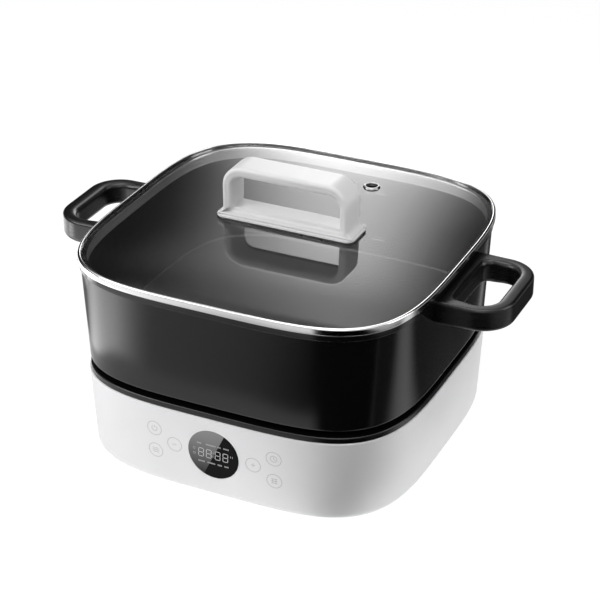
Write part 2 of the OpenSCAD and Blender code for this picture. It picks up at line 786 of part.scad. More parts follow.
module grip_profile(grow) {
  top = crown_top + grip_height + grow;
  low = gasket_top + 2;
  x = grip_length / 2 + grow;
  r = grip_corner;
  difference() {
    union() {
      translate([-x, low]) square([2 * x, top - r - low]);
      translate([-x + r, low]) square([2 * (x - r), top - low]);
      for (s = [-1, 1]) translate([s * (x - r), top - r]) circle(r);
    }
    translate([0, (gasket_top + grip_sill + top - grip_bar) / 2])
      round_rect(grip_length - 2 * grip_leg - 2 * grow,
        top - grip_bar - gasket_top - grip_sill - 2 * grow, grip_corner / 2);
  }
}

module lid_handle() color(white_plastic) difference() {
  union() {
    translate([0, 0, gasket_top]) linear_extrude(2.4)
      round_rect(grip_foot_length, grip_foot_depth, flange_corner);
    translate([0, 0, gasket_top]) linear_extrude(4)
      round_rect(grip_foot_length - 2 * flange_step,
        grip_foot_depth - 2 * flange_step, flange_corner - 1);
    translate([0, grip_depth / 2 - 1.2, 0]) rotate([90, 0, 0])
      linear_extrude(grip_depth - 2.4) grip_profile(0);
    translate([0, grip_depth / 2, 0]) rotate([90, 0, 0])
      linear_extrude(grip_depth) grip_profile(-1);
  }
  for (x = [-1, 1]) translate([x * screw_x, 0, 0])
    rod(2 + thread_gap, gasket_top - 1, gasket_top + lid_screw_reach + 0.5);
}

module handle_gasket() color(rubber_grey) difference() {
  translate([0, 0, crown_top]) linear_extrude(gasket_top - crown_top)
    round_rect(grip_foot_length - 1, grip_foot_depth - 1, flange_corner - 0.5);
  for (x = [-1, 1]) translate([x * screw_x, 0, 0])
    rod(3, crown_top - 1, gasket_top + 1);
}

module handle_backing() color(bare_metal) difference() {
  translate([0, 0, backing_low]) linear_extrude(crown_low - backing_low)
    round_rect(grip_foot_length - 3, grip_foot_depth - 6, flange_corner);
  for (x = [-1, 1]) translate([x * screw_x, 0, 0])
    rod(2 + thread_gap, backing_low - 1, crown_low + 1);
}

module lid_handle_screws() color(bare_metal)
  for (x = [-1, 1]) translate([x * screw_x, 0, 0])
    screw_up(backing_low, 3.8, 2, 2, gasket_top + lid_screw_reach - backing_low);

module vent_eyelet() color(bare_metal) on_vent() difference() {
  r = vent_diameter / 2;
  t = glass_thickness * cos(vent_lean);
  union() {
    cylinder(r = r, h = 0.7);
    translate([0, 0, 0.7]) cylinder(r1 = r, r2 = r - 1.2, h = 0.6);
    translate([0, 0, -t - 2]) cylinder(r = r - 2.3, h = t + 2.5);
    translate([0, 0, -t - 2]) cylinder(r = r - 0.4, h = 1);
  }
  translate([0, 0, -t - 3]) cylinder(r = r - 3.3, h = t + 6);
}

module vent_washer() color(rubber_grey) on_vent() difference() {
  r = vent_diameter / 2;
  t = glass_thickness * cos(vent_lean);
  translate([0, 0, -t - 1]) cylinder(r = r - 0.2, h = 0.98);
  translate([0, 0, -t - 2]) cylinder(r = r - 2.2, h = 4);
}

base_housing();
base_bottom_cover();
top_ring();
feet();
foot_screws();
plate_gasket();
heating_plate();
heating_element();
heat_shield();
shield_screws();
sensor_guide();
sensor_spring();
sensor_cap();
thermal_fuse();
power_board();
board_screws();
power_relay();
transformer();
capacitors();
heat_sink();
heater_wires();
mains_wires();
display_window();
display_module();
display_board();
display_screws();
touch_springs();
inlet_housing();
inlet_pins();
inlet_screws();
pot_body();
pot_base_disc();
handle_bracket_left();
handle_bracket_right();
pot_handle_left();
pot_handle_right();
handle_screws_left();
handle_screws_right();
lid_glass();
lid_rim();
lid_handle();
handle_gasket();
handle_backing();
lid_handle_screws();
vent_eyelet();
vent_washer();
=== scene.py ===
from math import atan2, cos, degrees, pi, radians, sin, tan
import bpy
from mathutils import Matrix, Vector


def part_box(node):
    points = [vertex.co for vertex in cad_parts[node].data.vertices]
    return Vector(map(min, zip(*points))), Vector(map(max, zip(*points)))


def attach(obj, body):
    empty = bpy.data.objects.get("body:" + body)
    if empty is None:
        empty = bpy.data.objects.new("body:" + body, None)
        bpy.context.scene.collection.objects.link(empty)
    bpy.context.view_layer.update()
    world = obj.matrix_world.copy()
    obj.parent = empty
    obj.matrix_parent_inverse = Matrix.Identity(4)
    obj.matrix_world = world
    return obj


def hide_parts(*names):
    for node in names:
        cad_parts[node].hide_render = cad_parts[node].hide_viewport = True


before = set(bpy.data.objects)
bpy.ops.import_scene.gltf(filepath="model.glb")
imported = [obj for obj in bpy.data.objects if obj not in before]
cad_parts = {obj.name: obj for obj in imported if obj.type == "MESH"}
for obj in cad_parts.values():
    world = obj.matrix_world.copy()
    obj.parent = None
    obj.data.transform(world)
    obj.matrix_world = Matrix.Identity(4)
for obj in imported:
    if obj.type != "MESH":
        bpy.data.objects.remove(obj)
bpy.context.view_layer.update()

from types import SimpleNamespace

import bmesh
import bpy
from mathutils import Matrix, Vector

scene = bpy.context.scene
scene.view_settings.view_transform = "Standard"
mm = 0.001
around = 288          # points in one turn of an outline
screwHead = 3.4 * mm  # radius of the long screws' heads


def measures(lengths, **others):
    # Lengths by name in millimetres, and other values as they are.
    return SimpleNamespace(**{name: value * mm for name, value in lengths.items()}, **others)


def low(node):
    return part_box(node)[0]


def high(node):
    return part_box(node)[1]


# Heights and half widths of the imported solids.
houseLow = low("base_housing").z
houseTop = high("base_housing").z
ringTop = high("top_ring").z
plateTop = high("heating_plate").z
floorLow = high("pot_base_disc").z
lipTop = high("pot_body").z
gripTop = high("pot_handle_right").z
gripLow = low("pot_handle_right").z
lipHalf = high("pot_body").x
rimHalf = high("lid_rim").x
rimTop = high("lid_rim").z
crown = high("lid_glass").z
gasketTop = high("handle_gasket").z
gripHeight = high("lid_handle").z


def squareReach(half, angle):
    # All outlines are one rounded square, grown or shrunk.
    return half / (cos(angle) ** 4 + sin(angle) ** 4) ** 0.25


def squareSide(half, x):
    # How far out the rounded square's side is at x.
    return (half ** 4 - x ** 4) ** 0.25


def ring(half, z, circle=False, count=around):
    points = []
    for i in range(count):
        angle = 2 * pi * i / count
        reach = half if circle else squareReach(half, angle)
        points.append(Vector((reach * cos(angle), reach * sin(angle), z)))
    return points


def roundRect(sizeX, sizeY, radius, z, steps=8):
    points = []
    for turn in range(4):
        middleX = (sizeX / 2 - radius) * (1 if turn in (0, 3) else -1)
        middleY = (sizeY / 2 - radius) * (1 if turn in (0, 1) else -1)
        for k in range(steps + 1):
            angle = pi / 2 * (turn + k / steps)
            points.append(Vector((middleX + radius * cos(angle),
                                  middleY + radius * sin(angle), z)))
    return points


def arcPath(x, y, radius, start, end, count=32):
    angles = [radians(start + (end - start) * i / count) for i in range(count + 1)]
    return [Vector((x + radius * cos(angle), y + radius * sin(angle))) for angle in angles]


def track(bends):
    # A closed path of arcs and straight runs. Each bend is an arc's centre, radius,
    # first and last angle and steps, with the steps of the run that follows it.
    arcs = [arcPath(*bend[:6]) for bend in bends]
    path = []
    for i, arc in enumerate(arcs):
        goal = arcs[(i + 1) % len(arcs)][0]
        run = bends[i][6]
        path += arc + [arc[-1].lerp(goal, k / run) for k in range(1, run)]
    return path


def rounded(corners, closed=False, step=12):
    # Each corner is (across, up, radius of its round).
    path = []
    count = len(corners)
    for i, (across, up, radius) in enumerate(corners):
        here = Vector((across, up))
        if radius <= 0 or (not closed and i in (0, count - 1)):
            path.append(here)
            continue
        before = (Vector(corners[i - 1][:2]) - here).normalized()
        after = (Vector(corners[(i + 1) % count][:2]) - here).normalized()
        turn = pi - before.angle(after)
        if turn < 0.01:
            path.append(here)
            continue
        run = radius * tan(turn / 2)
        centre = here + (before + after).normalized() * radius / cos(turn / 2)
        start = here + before * run - centre
        side = 1 if start.cross(here + after * run - centre) > 0 else -1
        parts = max(2, round(degrees(turn) / step))
        for k in range(parts + 1):
            angle = side * turn * k / parts
            path.append(centre + Vector((start.x * cos(angle) - start.y * sin(angle),
                                         start.x * sin(angle) + start.y * cos(angle))))
    return path


def makeObject(name, points, faces, smooth=True):
    mesh = bpy.data.meshes.new(name)
    mesh.from_pydata([tuple(point) for point in points], [], faces)
    work = bmesh.new()
    work.from_mesh(mesh)
    bmesh.ops.remove_doubles(work, verts=work.verts, dist=1e-7)
    bmesh.ops.recalc_face_normals(work, faces=work.faces)
    work.to_mesh(mesh)
    work.free()
    mesh.polygons.foreach_set("use_smooth", [smooth] * len(mesh.polygons))
    obj = bpy.data.objects.new(name, mesh)
    scene.collection.objects.link(obj)
    return obj


def skin(name, rings, closed=False):
    # Joins rings of equal length into one closed solid.
    size = len(rings[0])
    points = [point for row in rings for point in row]
    faces = []
    for j in range(len(rings) if closed else len(rings) - 1):
        upper = (j + 1) % len(rings) * size
        for i in range(size):
            k = (i + 1) % size
            faces.append((j * size + i, j * size + k, upper + k, upper + i))
    if not closed:
        faces.append(tuple(range(size - 1, -1, -1)))
        faces.append(tuple(range((len(rings) - 1) * size, len(rings) * size)))
    return makeObject(name, points, faces)


def turned(name, corners, closed=False, count=96):
    path = rounded(corners, closed)
    return skin(name, [ring(max(p.x, 1e-5), p.y, True, count) for p in path], closed)


def squared(name, corners):
    # A closed profile carried around the square outline.
    return skin(name, [ring(p.x, p.y) for p in rounded(corners, True)], True)


def rod(name, radius, bottom, top, count=96):
    return turned(name, [(0, bottom, 0), (radius, bottom, 0), (radius, top, 0), (0, top, 0)],
                  False, count)


def cut(obj, tools, operation="DIFFERENCE"):
    for tool in tools:
        modifier = obj.modifiers.new("cut", "BOOLEAN")
        modifier.operation = operation
        modifier.solver = "EXACT"
        modifier.object = tool
    bpy.context.view_layer.update()
    result = bpy.data.meshes.new_from_object(
        obj.evaluated_get(bpy.context.evaluated_depsgraph_get()))
    old = obj.data
    obj.modifiers.clear()
    obj.data = result
    bpy.data.meshes.remove(old)
    for tool in tools:
        bpy.data.objects.remove(tool)


def join(name, parts):
    mesh = bpy.data.meshes.new(name)
    work = bmesh.new()
    for part in parts:
        work.from_mesh(part.data)
        bpy.data.objects.remove(part)
    work.to_mesh(mesh)
    work.free()
    obj = bpy.data.objects.new(name, mesh)
    scene.collection.objects.link(obj)
    return obj


def move(obj, matrix):
    obj.data.transform(matrix)
    return obj


def atCorners(name, corners, count):
    # Turned rings around the four long screws of the base.
    spot = high("foot_screws").x - screwHead
    return [move(turned(name, corners, True, count),
                 Matrix.Translation((x * spot, y * spot, 0)))
            for x in (-1, 1) for y in (-1, 1)]


def twoFinishes(obj, first, second, isSecond):
    obj.data.materials.append(first)
    obj.data.materials.append(second)
    for face in obj.data.polygons:
        if isSecond(face):
            face.material_index = 1
    return obj


def evenShade(obj):
    # Flat faces keep one shade right up to their rounded edges.
    modifier = obj.modifiers.new("even shade", "WEIGHTED_NORMAL")
    modifier.mode = "FACE_AREA"
    modifier.weight = 60
    modifier.keep_sharp = True


def place(obj, body, material, slot, *nodes, shade=True):
    if material:
        obj.data.materials.clear()
        obj.data.materials.append(material)
    if shade:
        evenShade(obj)
    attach(obj, body)
    if nodes:
        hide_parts(*nodes)


def dress(material, *nodes):
    for node in nodes:
        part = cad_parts[node]
        if not part.material_slots:
            part.data.materials.append(material)
        for holder in part.material_slots:
            holder.material = material


print("finishes")


def tone(level, tint=(1, 1, 1)):
    # A colour as it is read off a screen, from 0 to 255.
    values = []
    for share in tint:
        value = level * share / 255
        values.append(value / 12.92 if value <= 0.04045 else ((value + 0.055) / 1.055) ** 2.4)
    return values[0], values[1], values[2], 1


def darker(colour, share):
    return tuple(value * share for value in colour[:3]) + (1,)


class Nodes:
    # A node tree with short ways to add to it.
    def __init__(self, name, owner=None):
        self.material = owner or bpy.data.materials.new(name)
        self.material.use_nodes = True
        self.tree = self.material.node_tree
        self.shader = self.tree.nodes.get("Principled BSDF")
        self.places = self.add("ShaderNodeTexCoord").outputs
        self.position = self.places["Object"]

    def add(self, kind, **values):
        node = self.tree.nodes.new(kind)
        for key, value in values.items():
            setattr(node, key, value)
        return node

    def link(self, start, end):
        self.tree.links.new(start, end)

    def feed(self, value, socket):
        if isinstance(value, (int, float, tuple)):
            socket.default_value = value
        else:
            self.link(value, socket)

    def fill(self, node, **values):
        for key, value in values.items():
            self.feed(value, node.inputs[key.replace("_", " ")])
        return node.outputs[0]

    def set(self, **values):
        self.fill(self.shader, **values)
        return self.material

    def surface(self, shader):
        self.link(shader, self.tree.nodes["Material Output"].inputs["Surface"])

    def stretched(self, scale, turn=(0, 0, 0)):
        return self.fill(self.add("ShaderNodeMapping"), Scale=scale, Rotation=turn,
                         Vector=self.position)

    def noise(self, scale, detail=2.0, vector=None):
        return self.fill(self.add("ShaderNodeTexNoise"), Scale=scale, Detail=detail,
                         Vector=vector or self.position)

    def remap(self, value, lowIn, highIn, lowOut, highOut, smooth=False):
        node = self.add("ShaderNodeMapRange")
        if smooth:
            node.interpolation_type = "SMOOTHSTEP"
        return self.fill(node, Value=value, From_Min=lowIn, From_Max=highIn, To_Min=lowOut,
                         To_Max=highOut)

    def blend(self, factor, a, b, kind="RGBA"):
        node = self.add("ShaderNodeMix", data_type=kind)
        for value, key in ((factor, "Factor"), (a, "A"), (b, "B")):
            self.feed(value, next(socket for socket in node.inputs
                                  if socket.name == key and socket.enabled))
        return next(socket for socket in node.outputs if socket.enabled)

    def shaded(self, mask, colour, share):
        # Goes from a darker share of the colour to the colour itself.
        return self.blend(mask, darker(colour, share), colour)

    def either(self, factor, first, second):
        node = self.add("ShaderNodeMixShader")
        for value, socket in zip((factor, first, second), node.inputs):
            self.feed(value, socket)
        return node.outputs[0]

    def glow(self, strength):
        return self.fill(self.add("ShaderNodeEmission"), Strength=strength)

    def math(self, operation, a, b=0.0, clamp=False):
        node = self.add("ShaderNodeMath", operation=operation, use_clamp=clamp)
        self.feed(a, node.inputs[0])
        self.feed(b, node.inputs[1])
        return node.outputs[0]

    def length(self, x, y):
        return self.math("SQRT", self.math("ADD", self.math("MULTIPLY", x, x),
                                           self.math("MULTIPLY", y, y)))

    def bump(self, height, distance, onto=None):
        own = {"Normal": onto} if onto else {}
        return self.fill(self.add("ShaderNodeBump"), Distance=distance, Height=height, **own)

    def parts(self):
        node = self.add("ShaderNodeSeparateXYZ")
        self.link(self.position, node.inputs[0])
        return list(node.outputs)


plastic = {"colour": tone(225), "shade": 0.03, "flow": 14.0, "grain": 2400.0, "dust": 0.03,
           "dustTone": 200, "rough": (0.3, 0.38), "depth": 0.00001, "wave": 0.00002,
           "ior": 1.48, "coat": 0.0, "coatRough": 0.1}


def moulded(name, **changes):
    # Moulded plastic or rubber: faint flow patches, fine grain, light rub marks.
    look = plastic | changes
    n = Nodes(name)
    flow = n.noise(look["flow"], 3.0)
    dust = n.noise(look["grain"] * 0.35)
    pale = n.shaded(n.remap(flow, 0.3, 0.7, 0.0, 1.0, True), look["colour"], 1 - look["shade"])
    colour = n.blend(n.remap(dust, 0.62, 0.8, 0.0, look["dust"]), pale, tone(look["dustTone"]))
    rub = n.noise(90.0, 4.0, n.stretched((1.0, 0.12, 6.0), (0.3, 0.2, 0.5)))
    fine = n.bump(n.noise(look["grain"]), look["depth"])
    wave = n.bump(n.noise(look["flow"] * 1.7, 1.0), look["wave"], fine)
    return n.set(Base_Color=colour, Roughness=n.remap(rub, 0.35, 0.75, *look["rough"]),
                 Normal=wave, IOR=look["ior"], Coat_Weight=look["coat"],
                 Coat_Roughness=look["coatRough"])


def brushed(name, **look):
    # Sheet metal with fine lines along one direction.
    n = Nodes(name)
    lines = n.noise(look["lines"], 3.0, n.stretched(look["stretch"]))
    colour = n.shaded(n.remap(lines, 0.3, 0.7, 0.0, 1.0), look["colour"], 1 - look["shade"])
    stain = n.blend(n.remap(n.noise(9.0, 3.0), 0.45, 0.75, 0.0, 0.25, True), colour,
                    darker(look["colour"], 0.86))
    return n.set(Base_Color=stain, Roughness=n.remap(lines, 0.3, 0.7, *look["rough"]),
                 Metallic=1.0, Normal=n.bump(lines, look["depth"]))


def lathed(name, **look):
    # Metal with turning marks around the z axis.
    n = Nodes(name)
    x, y = n.parts()[:2]
    wobble = n.math("ADD", n.length(x, y), n.math("MULTIPLY", n.noise(30.0), 0.0004))
    grooves = n.math("SINE", n.math("MULTIPLY", wobble, 2 * pi / look["pitch"]))
    smear = n.noise(60.0, 4.0)
    colour = n.shaded(n.remap(grooves, -1.0, 1.0, 0.0, 1.0), look["colour"], 0.84)
    aged = n.blend(n.remap(smear, 0.5, 0.8, 0.0, 0.35, True), colour, look["aged"])
    return n.set(Base_Color=aged, Roughness=n.remap(smear, 0.3, 0.7, *look["rough"]),
                 Metallic=1.0, Normal=n.bump(grooves, look["depth"]))


def rolled(name, **look):
    # Rolled sheet whose lines run around z and spread its highlights up and down.
    n = Nodes(name)
    lines = n.noise(look["lines"], 3.0, n.stretched((0.2, 0.2, 12.0)))
    tangent = n.add("ShaderNodeTangent", direction_type="RADIAL", axis="Z")
    return n.set(Base_Color=n.shaded(n.remap(lines, 0.3, 0.7, 0.0, 1.0), look["colour"], 0.92),
                 Tangent=tangent.outputs["Tangent"], Metallic=1.0,
                 Anisotropic=look["spread"], Anisotropic_Rotation=0.25,
                 Roughness=n.remap(lines, 0.3, 0.7, *look["rough"]),
                 Normal=n.bump(lines, 0.000004))


def coated(name, **look):
    # Non-stick coating: a dark ground with fine pale specks.
    n = Nodes(name)
    speck = n.fill(n.add("ShaderNodeTexVoronoi"), Scale=look["scale"], Vector=n.position)
    ground = n.blend(n.remap(n.noise(12.0, 3.0), 0.3, 0.7, 0.0, 1.0), look["colour"],
                     darker(look["colour"], 1.25))
    spots = n.math("MULTIPLY", n.remap(speck, 0.0, 0.32, 1.0, 0.0),
                   n.remap(n.noise(900.0, 1.0), 0.5, 0.66, 0.0, look["speck"]))
    return n.set(Base_Color=n.blend(spots, ground, look["speckColour"]),
                 Roughness=n.remap(n.noise(140.0, 3.0), 0.3, 0.7, *look["rough"]),
                 Normal=n.bump(n.noise(90.0), 0.0000015))


def clearGlass(name, **look):
    # Lamps shine straight through, so that the pot is lit inside.
    n = Nodes(name)
    smudge = n.noise(26.0, 4.0)
    n.set(Base_Color=n.blend(n.remap(smudge, 0.4, 0.8, 0.0, 1.0, True), look["colour"],
                             darker(look["colour"], 0.985)),
          Roughness=n.remap(smudge, 0.45, 0.75, 0.0, look["smear"], True),
          Transmission_Weight=1.0, IOR=1.4,
          Normal=n.bump(n.noise(7.0, 1.0), look["wave"]))
    through = n.fill(n.add("ShaderNodeBsdfTransparent"), Color=look["shadow"])
    shadow = n.add("ShaderNodeLightPath").outputs["Is Shadow Ray"]
    n.surface(n.either(shadow, n.shader.outputs[0], through))
    return n.material


whiteShell = moulded("white shell plastic", colour=tone(226, (1, 1, 1.005)))
whiteHandle = moulded("white handle plastic", colour=tone(227), rough=(0.34, 0.44),
                      grain=1800.0, depth=0.000014)
blackTrim = moulded("black trim plastic", colour=tone(14), rough=(0.2, 0.27), dust=0.02,
                    dustTone=90, depth=0.000012)
blackHandle = moulded("black handle plastic", colour=tone(13), rough=(0.26, 0.34), dust=0.01,
                      dustTone=70, grain=1500.0, depth=0.00001)
footRubber = moulded("foot rubber", colour=tone(70), rough=(0.6, 0.75), dust=0.1,
                     dustTone=120, depth=0.00004)
sealRubber = moulded("seal silicone", colour=tone(62), rough=(0.45, 0.6), dust=0.05,
                     dustTone=110)
potPaint = moulded("pot outside paint", colour=tone(14), rough=(0.12, 0.17), dust=0.008,
                   dustTone=70, flow=9.0, depth=0.000006)
potCoating = coated("pot inside coating", colour=tone(25), scale=620.0, speck=0.05,
                    speckColour=tone(90), rough=(0.3, 0.42))
markPaint = moulded("level mark paint", colour=tone(164), rough=(0.4, 0.5))
rimSteel = brushed("polished rim steel", colour=tone(226), lines=300.0,
                   stretch=(1.0, 1.0, 14.0), shade=0.05, rough=(0.1, 0.16), depth=0.000002)
eyeletSteel = brushed("eyelet steel", colour=tone(168), lines=500.0, stretch=(1.0, 1.0, 6.0),
                      shade=0.08, rough=(0.16, 0.24), depth=0.000002)
skirtSteel = rolled("rolled skirt steel", colour=tone(188), lines=300.0, spread=0.93,
                    rough=(0.52, 0.62))
sheetSteel = brushed("plain sheet steel", colour=tone(190), lines=260.0,
                     stretch=(1.0, 9.0, 1.0), shade=0.14, rough=(0.25, 0.4), depth=0.00001)
screwSteel = brushed("screw steel", colour=tone(176), lines=800.0, stretch=(1.0, 1.0, 1.0),
                     shade=0.2, rough=(0.28, 0.42), depth=0.00001)
plateMetal = lathed("turned plate aluminium", colour=tone(176), aged=tone(140), pitch=0.0007,
                    rough=(0.34, 0.48), depth=0.00002)
discMetal = lathed("turned disc aluminium", colour=tone(196), aged=tone(148), pitch=0.0011,
                   rough=(0.26, 0.4), depth=0.00003)
capMetal = lathed("turned cap steel", colour=tone(210), aged=tone(176), pitch=0.0005,
                  rough=(0.16, 0.26), depth=0.00001)
sheathMetal = lathed("heater sheath metal", colour=tone(110), aged=tone(70), pitch=0.003,
                     rough=(0.4, 0.6), depth=0.00002)
lidGlassFinish = clearGlass("lid glass", colour=(0.985, 0.985, 0.985, 1),
                            shadow=(0.88, 0.88, 0.88, 1), smear=0.02, wave=0.00002)
boardGreen = moulded("green circuit board", colour=tone(90, (0.25, 1, 0.5)),
                     rough=(0.35, 0.5), shade=0.25, flow=160.0)
fuseBody = moulded("fuse body", colour=tone(190, (1, 0.93, 0.8)), rough=(0.5, 0.6))
relayBlue = moulded("relay plastic", colour=tone(150, (0.2, 0.45, 1)), rough=(0.4, 0.5))
coilTape = moulded("coil tape", colour=tone(220, (1, 0.85, 0.25)), rough=(0.3, 0.4),
                   shade=0.15, flow=60.0)
sleeveBlack = moulded("capacitor sleeve", colour=tone(36), rough=(0.25, 0.35))
wireSleeve = moulded("wire sleeve", colour=tone(190, (1, 0.28, 0.2)), rough=(0.4, 0.5),
                     shade=0.1)
pinBrass = brushed("pin brass", colour=tone(214, (1, 0.84, 0.5)), lines=900.0,
                   stretch=(1.0, 8.0, 1.0), shade=0.12, rough=(0.2, 0.32), depth=0.000006)
keyPaint = moulded("key print", colour=tone(180), rough=(0.4, 0.5))
bezelPaint = moulded("bezel plastic", colour=tone(245), rough=(0.2, 0.25))


print("heating base")
housing = measures(dict(draft=3, edge=9, topRound=0.9, wall=3, shelf=5, shelfSheet=2.5,
                        shelfRound=5, coverDepth=2.6))
houseHalf = high("base_housing").x + 0.1 * mm
houseLowHalf = houseHalf + 0.6 * mm - housing.draft
wallSlope = housing.draft / (houseTop - houseLow - housing.edge)
coverHalf = high("base_bottom_cover").x + 0.35 * mm


def frontHalf(z):
    # Half width of the housing at a level of its wall.
    return houseLowHalf + (z - houseLow - housing.edge) * wallSlope


def frontPoint(x, z, lift=0.0):
    return Vector((x, -squareSide(frontHalf(z) + lift, x), z))


def makeHousing():
    h = housing
    coverTop = houseLow + h.coverDepth
    shelfTop = coverTop + h.shelfSheet
    shelfHalf = coverHalf - h.shelf
    footHalf = frontHalf(houseLow)
    return squared("housing", [
        (coverHalf, houseLow, 0.5 * mm), (footHalf, houseLow, h.edge),
        (frontHalf(houseTop), houseTop, h.topRound),
        (frontHalf(houseTop) - h.wall, houseTop, 0.5 * mm),
        (footHalf - h.wall, shelfTop, h.shelfRound), (shelfHalf, shelfTop, 0.5 * mm),
        (shelfHalf, coverTop, 0.3 * mm), (coverHalf, coverTop, 0.3 * mm)])


display = measures(dict(radius=22.5, centre=45.3, proud=0.4, bezel=0.55, play=0.1, depth=2.2,
                        bezelDepth=1.5))
displayPlace = (Matrix.Translation(frontPoint(0, display.centre))
                @ Matrix.Rotation(pi / 2 + atan2(wallSlope, 1), 4, "X"))
inlet = measures(dict(padX=54, padY=30, corner=5, sunk=2.5, holeX=28.7, holeY=20.9, holeCorner=4),
                 z=(low("inlet_housing").z + high("inlet_housing").z) / 2,
                 face=high("inlet_housing").y)
inletPlace = (Matrix.Translation((0, inlet.face - inlet.sunk, inlet.z))
              @ Matrix.Rotation(-pi / 2, 4, "X"))


def makeInletPad():
    # Each outline is how far it is drawn in, and its height.
    outlines = [(0, -6 * mm), (0, -0.5 * mm), (0.15 * mm, -0.15 * mm), (0.5 * mm, 0)]
    pad = skin("inletPad", [roundRect(inlet.padX - 2 * inset, inlet.padY - 2 * inset,
                                      inlet.corner - inset, z) for inset, z in outlines])
    return move(pad, inletPlace)


shell = makeHousing()
cut(shell, [makeInletPad()], "UNION")
displayCut = rod("displayCut", display.radius + display.play, -6 * mm, 3 * mm)
inletCut = skin("inletCut", [roundRect(inlet.holeX, inlet.holeY, inlet.holeCorner, z)
                             for z in (-20 * mm, 4 * mm)])
cut(shell, [move(displayCut, displayPlace), move(inletCut, inletPlace)])
place(shell, "base", whiteShell, "white_plastic", "base_housing")

deck = measures(dict(edge=1.1, foot=0.5, seat=91.8, ledge=85.5, ledgeDrop=5.5, web=4, skirtIn=3.4,
                     skirt=2.5, skirtDepth=6, post=5, postBore=1.6, postDrop=8),
                half=high("top_ring").x, seatTop=low("plate_gasket").z)


def makeDeck():
    d = deck
    skirtHalf = houseHalf - d.skirtIn
    skirtLow = houseTop - d.skirtDepth
    ledgeLow = d.seatTop - d.ledgeDrop
    postLow = high("base_bottom_cover").z - d.postDrop
    outer = rounded([
        (skirtHalf - d.skirt, houseTop, 0), (skirtHalf - d.skirt, skirtLow, 0.3 * mm),
        (skirtHalf, skirtLow, 0.5 * mm), (skirtHalf, houseTop, 0.2 * mm),
        (d.half, houseTop, d.foot), (d.half, ringTop, d.edge),
        (d.half - 8 * mm, ringTop, 0)])
    inner = rounded([
        (d.seat + 3 * mm, ringTop, 0), (d.seat, ringTop, 0.8 * mm),
        (d.seat, d.seatTop, 0.3 * mm), (d.ledge, d.seatTop, 0.6 * mm),
        (d.ledge, ledgeLow, 0.4 * mm), (d.seat + d.web, ledgeLow, 0.4 * mm),
        (d.seat + d.web, houseTop, 0)])
    rings = [ring(p.x, p.y) for p in outer] + [ring(p.x, p.y, True) for p in inner]
    top = skin("deckPlate", rings, True)
    posts = atCorners("post", [
        (d.postBore, houseTop, 0), (d.post, houseTop, 0), (d.post, postLow, 0.5 * mm),
        (d.postBore, postLow, 0.3 * mm)], 40)
    return join("deck", [top] + posts)


place(makeDeck(), "base", blackTrim, "black_plastic", "top_ring")

foot = measures(dict(radius=11, recess=4, plug=5.8, bore=1.6, groove=7.4, grooveDepth=0.5),
                height=houseLow, plugTop=houseLow + 2.5 * mm)


def makeFeet():
    f = foot
    return join("rubberFeet", atCorners("foot", [
        (f.recess, 0, 0.4 * mm), (f.groove - f.grooveDepth, 0, 0.2 * mm),
        (f.groove, f.grooveDepth, 0.2 * mm),
        (f.groove + f.grooveDepth, 0, 0.2 * mm),
        (f.radius - 0.8 * mm, 0, 0.8 * mm), (f.radius, f.height, 0.3 * mm),
        (f.plug, f.height, 0.2 * mm), (f.plug, f.plugTop, 0.3 * mm),
        (f.bore, f.plugTop, 0.1 * mm), (f.bore, f.height, 0.1 * mm),
        (f.recess, f.height, 0.1 * mm)], 64))


place(makeFeet(), "base", footRubber, "foot_rubber", "feet")

plate = measures(dict(hole=12.6, dish=0.12, dishEdge=7), radius=high("heating_plate").x,
                 low=low("heating_plate").z)
hotPlate = turned("hotPlate", [
    (plate.hole, plate.low, 0.3 * mm), (plate.radius, plate.low, 0.5 * mm),
    (plate.radius, plateTop, 1.0 * mm),
    (plate.radius - plate.dishEdge + 1 * mm, plateTop, 3 * mm),
    (plate.radius - plate.dishEdge, plateTop - plate.dish, 3 * mm),
    (plate.hole + 4 * mm, plateTop - plate.dish, 3 * mm),
    (plate.hole, plateTop - 0.3 * mm, 0.4 * mm)], True, 192)
place(hotPlate, "base", plateMetal, "heater_aluminium", "heating_plate")

cap = measures(dict(radius=12, flange=15, sheet=1.5), low=low("sensor_cap").z)
sensorTop = turned("sensorTop", [
    (0, plateTop, 0), (cap.radius, plateTop, 0.9 * mm),
    (cap.radius, cap.low + cap.sheet, 0.3 * mm),
    (cap.flange, cap.low + cap.sheet, 0.4 * mm), (cap.flange, cap.low, 0.4 * mm),
    (cap.radius - cap.sheet, cap.low, 0.3 * mm),
    (cap.radius - cap.sheet, plateTop - cap.sheet, 0.6 * mm),
    (0, plateTop - cap.sheet, 0)])
place(sensorTop, "sensor", capMetal, "sensor_metal", "sensor_cap")


print("display")


# The film's dark tone, and the tones, height span and slanting edge of the painted reflection on
# it.
filmAndReflection = SimpleNamespace(dark=6, low=40, high=140, cloud=84, bottom=-0.021, top=0.022, slope=0.487,
                       start=0.0007, soft=0.0002)


def displayFilmWithPaintedReflection():
    # Dark film, with a painted reflection to the left of a slanting edge.
    n = Nodes("display film with painted reflection")
    x, z = n.parts()[::2]
    height = n.math("SUBTRACT", z, display.centre)
    edge = n.math("ADD", n.math("MULTIPLY", height, filmAndReflection.slope), filmAndReflection.start)
    side = n.remap(n.math("SUBTRACT", edge, x), -filmAndReflection.soft, filmAndReflection.soft, 0.0, 1.0, True)
    # The painted reflection: a paler sheen, lighter towards the top, with cloudy patches.
    paintedReflection = n.blend(n.remap(height, filmAndReflection.bottom, filmAndReflection.top, 0.0, 1.0), tone(filmAndReflection.low),
                    tone(filmAndReflection.high))
    cloudyReflection = n.blend(n.remap(n.noise(40.0), 0.3, 0.7, 0.0, 0.12), paintedReflection, tone(filmAndReflection.cloud))
    return n.set(Base_Color=n.blend(side, tone(filmAndReflection.dark), cloudyReflection),
                 Roughness=n.remap(n.noise(60.0, 3.0), 0.4, 0.7, 0.05, 0.09),
                 IOR=1.2)


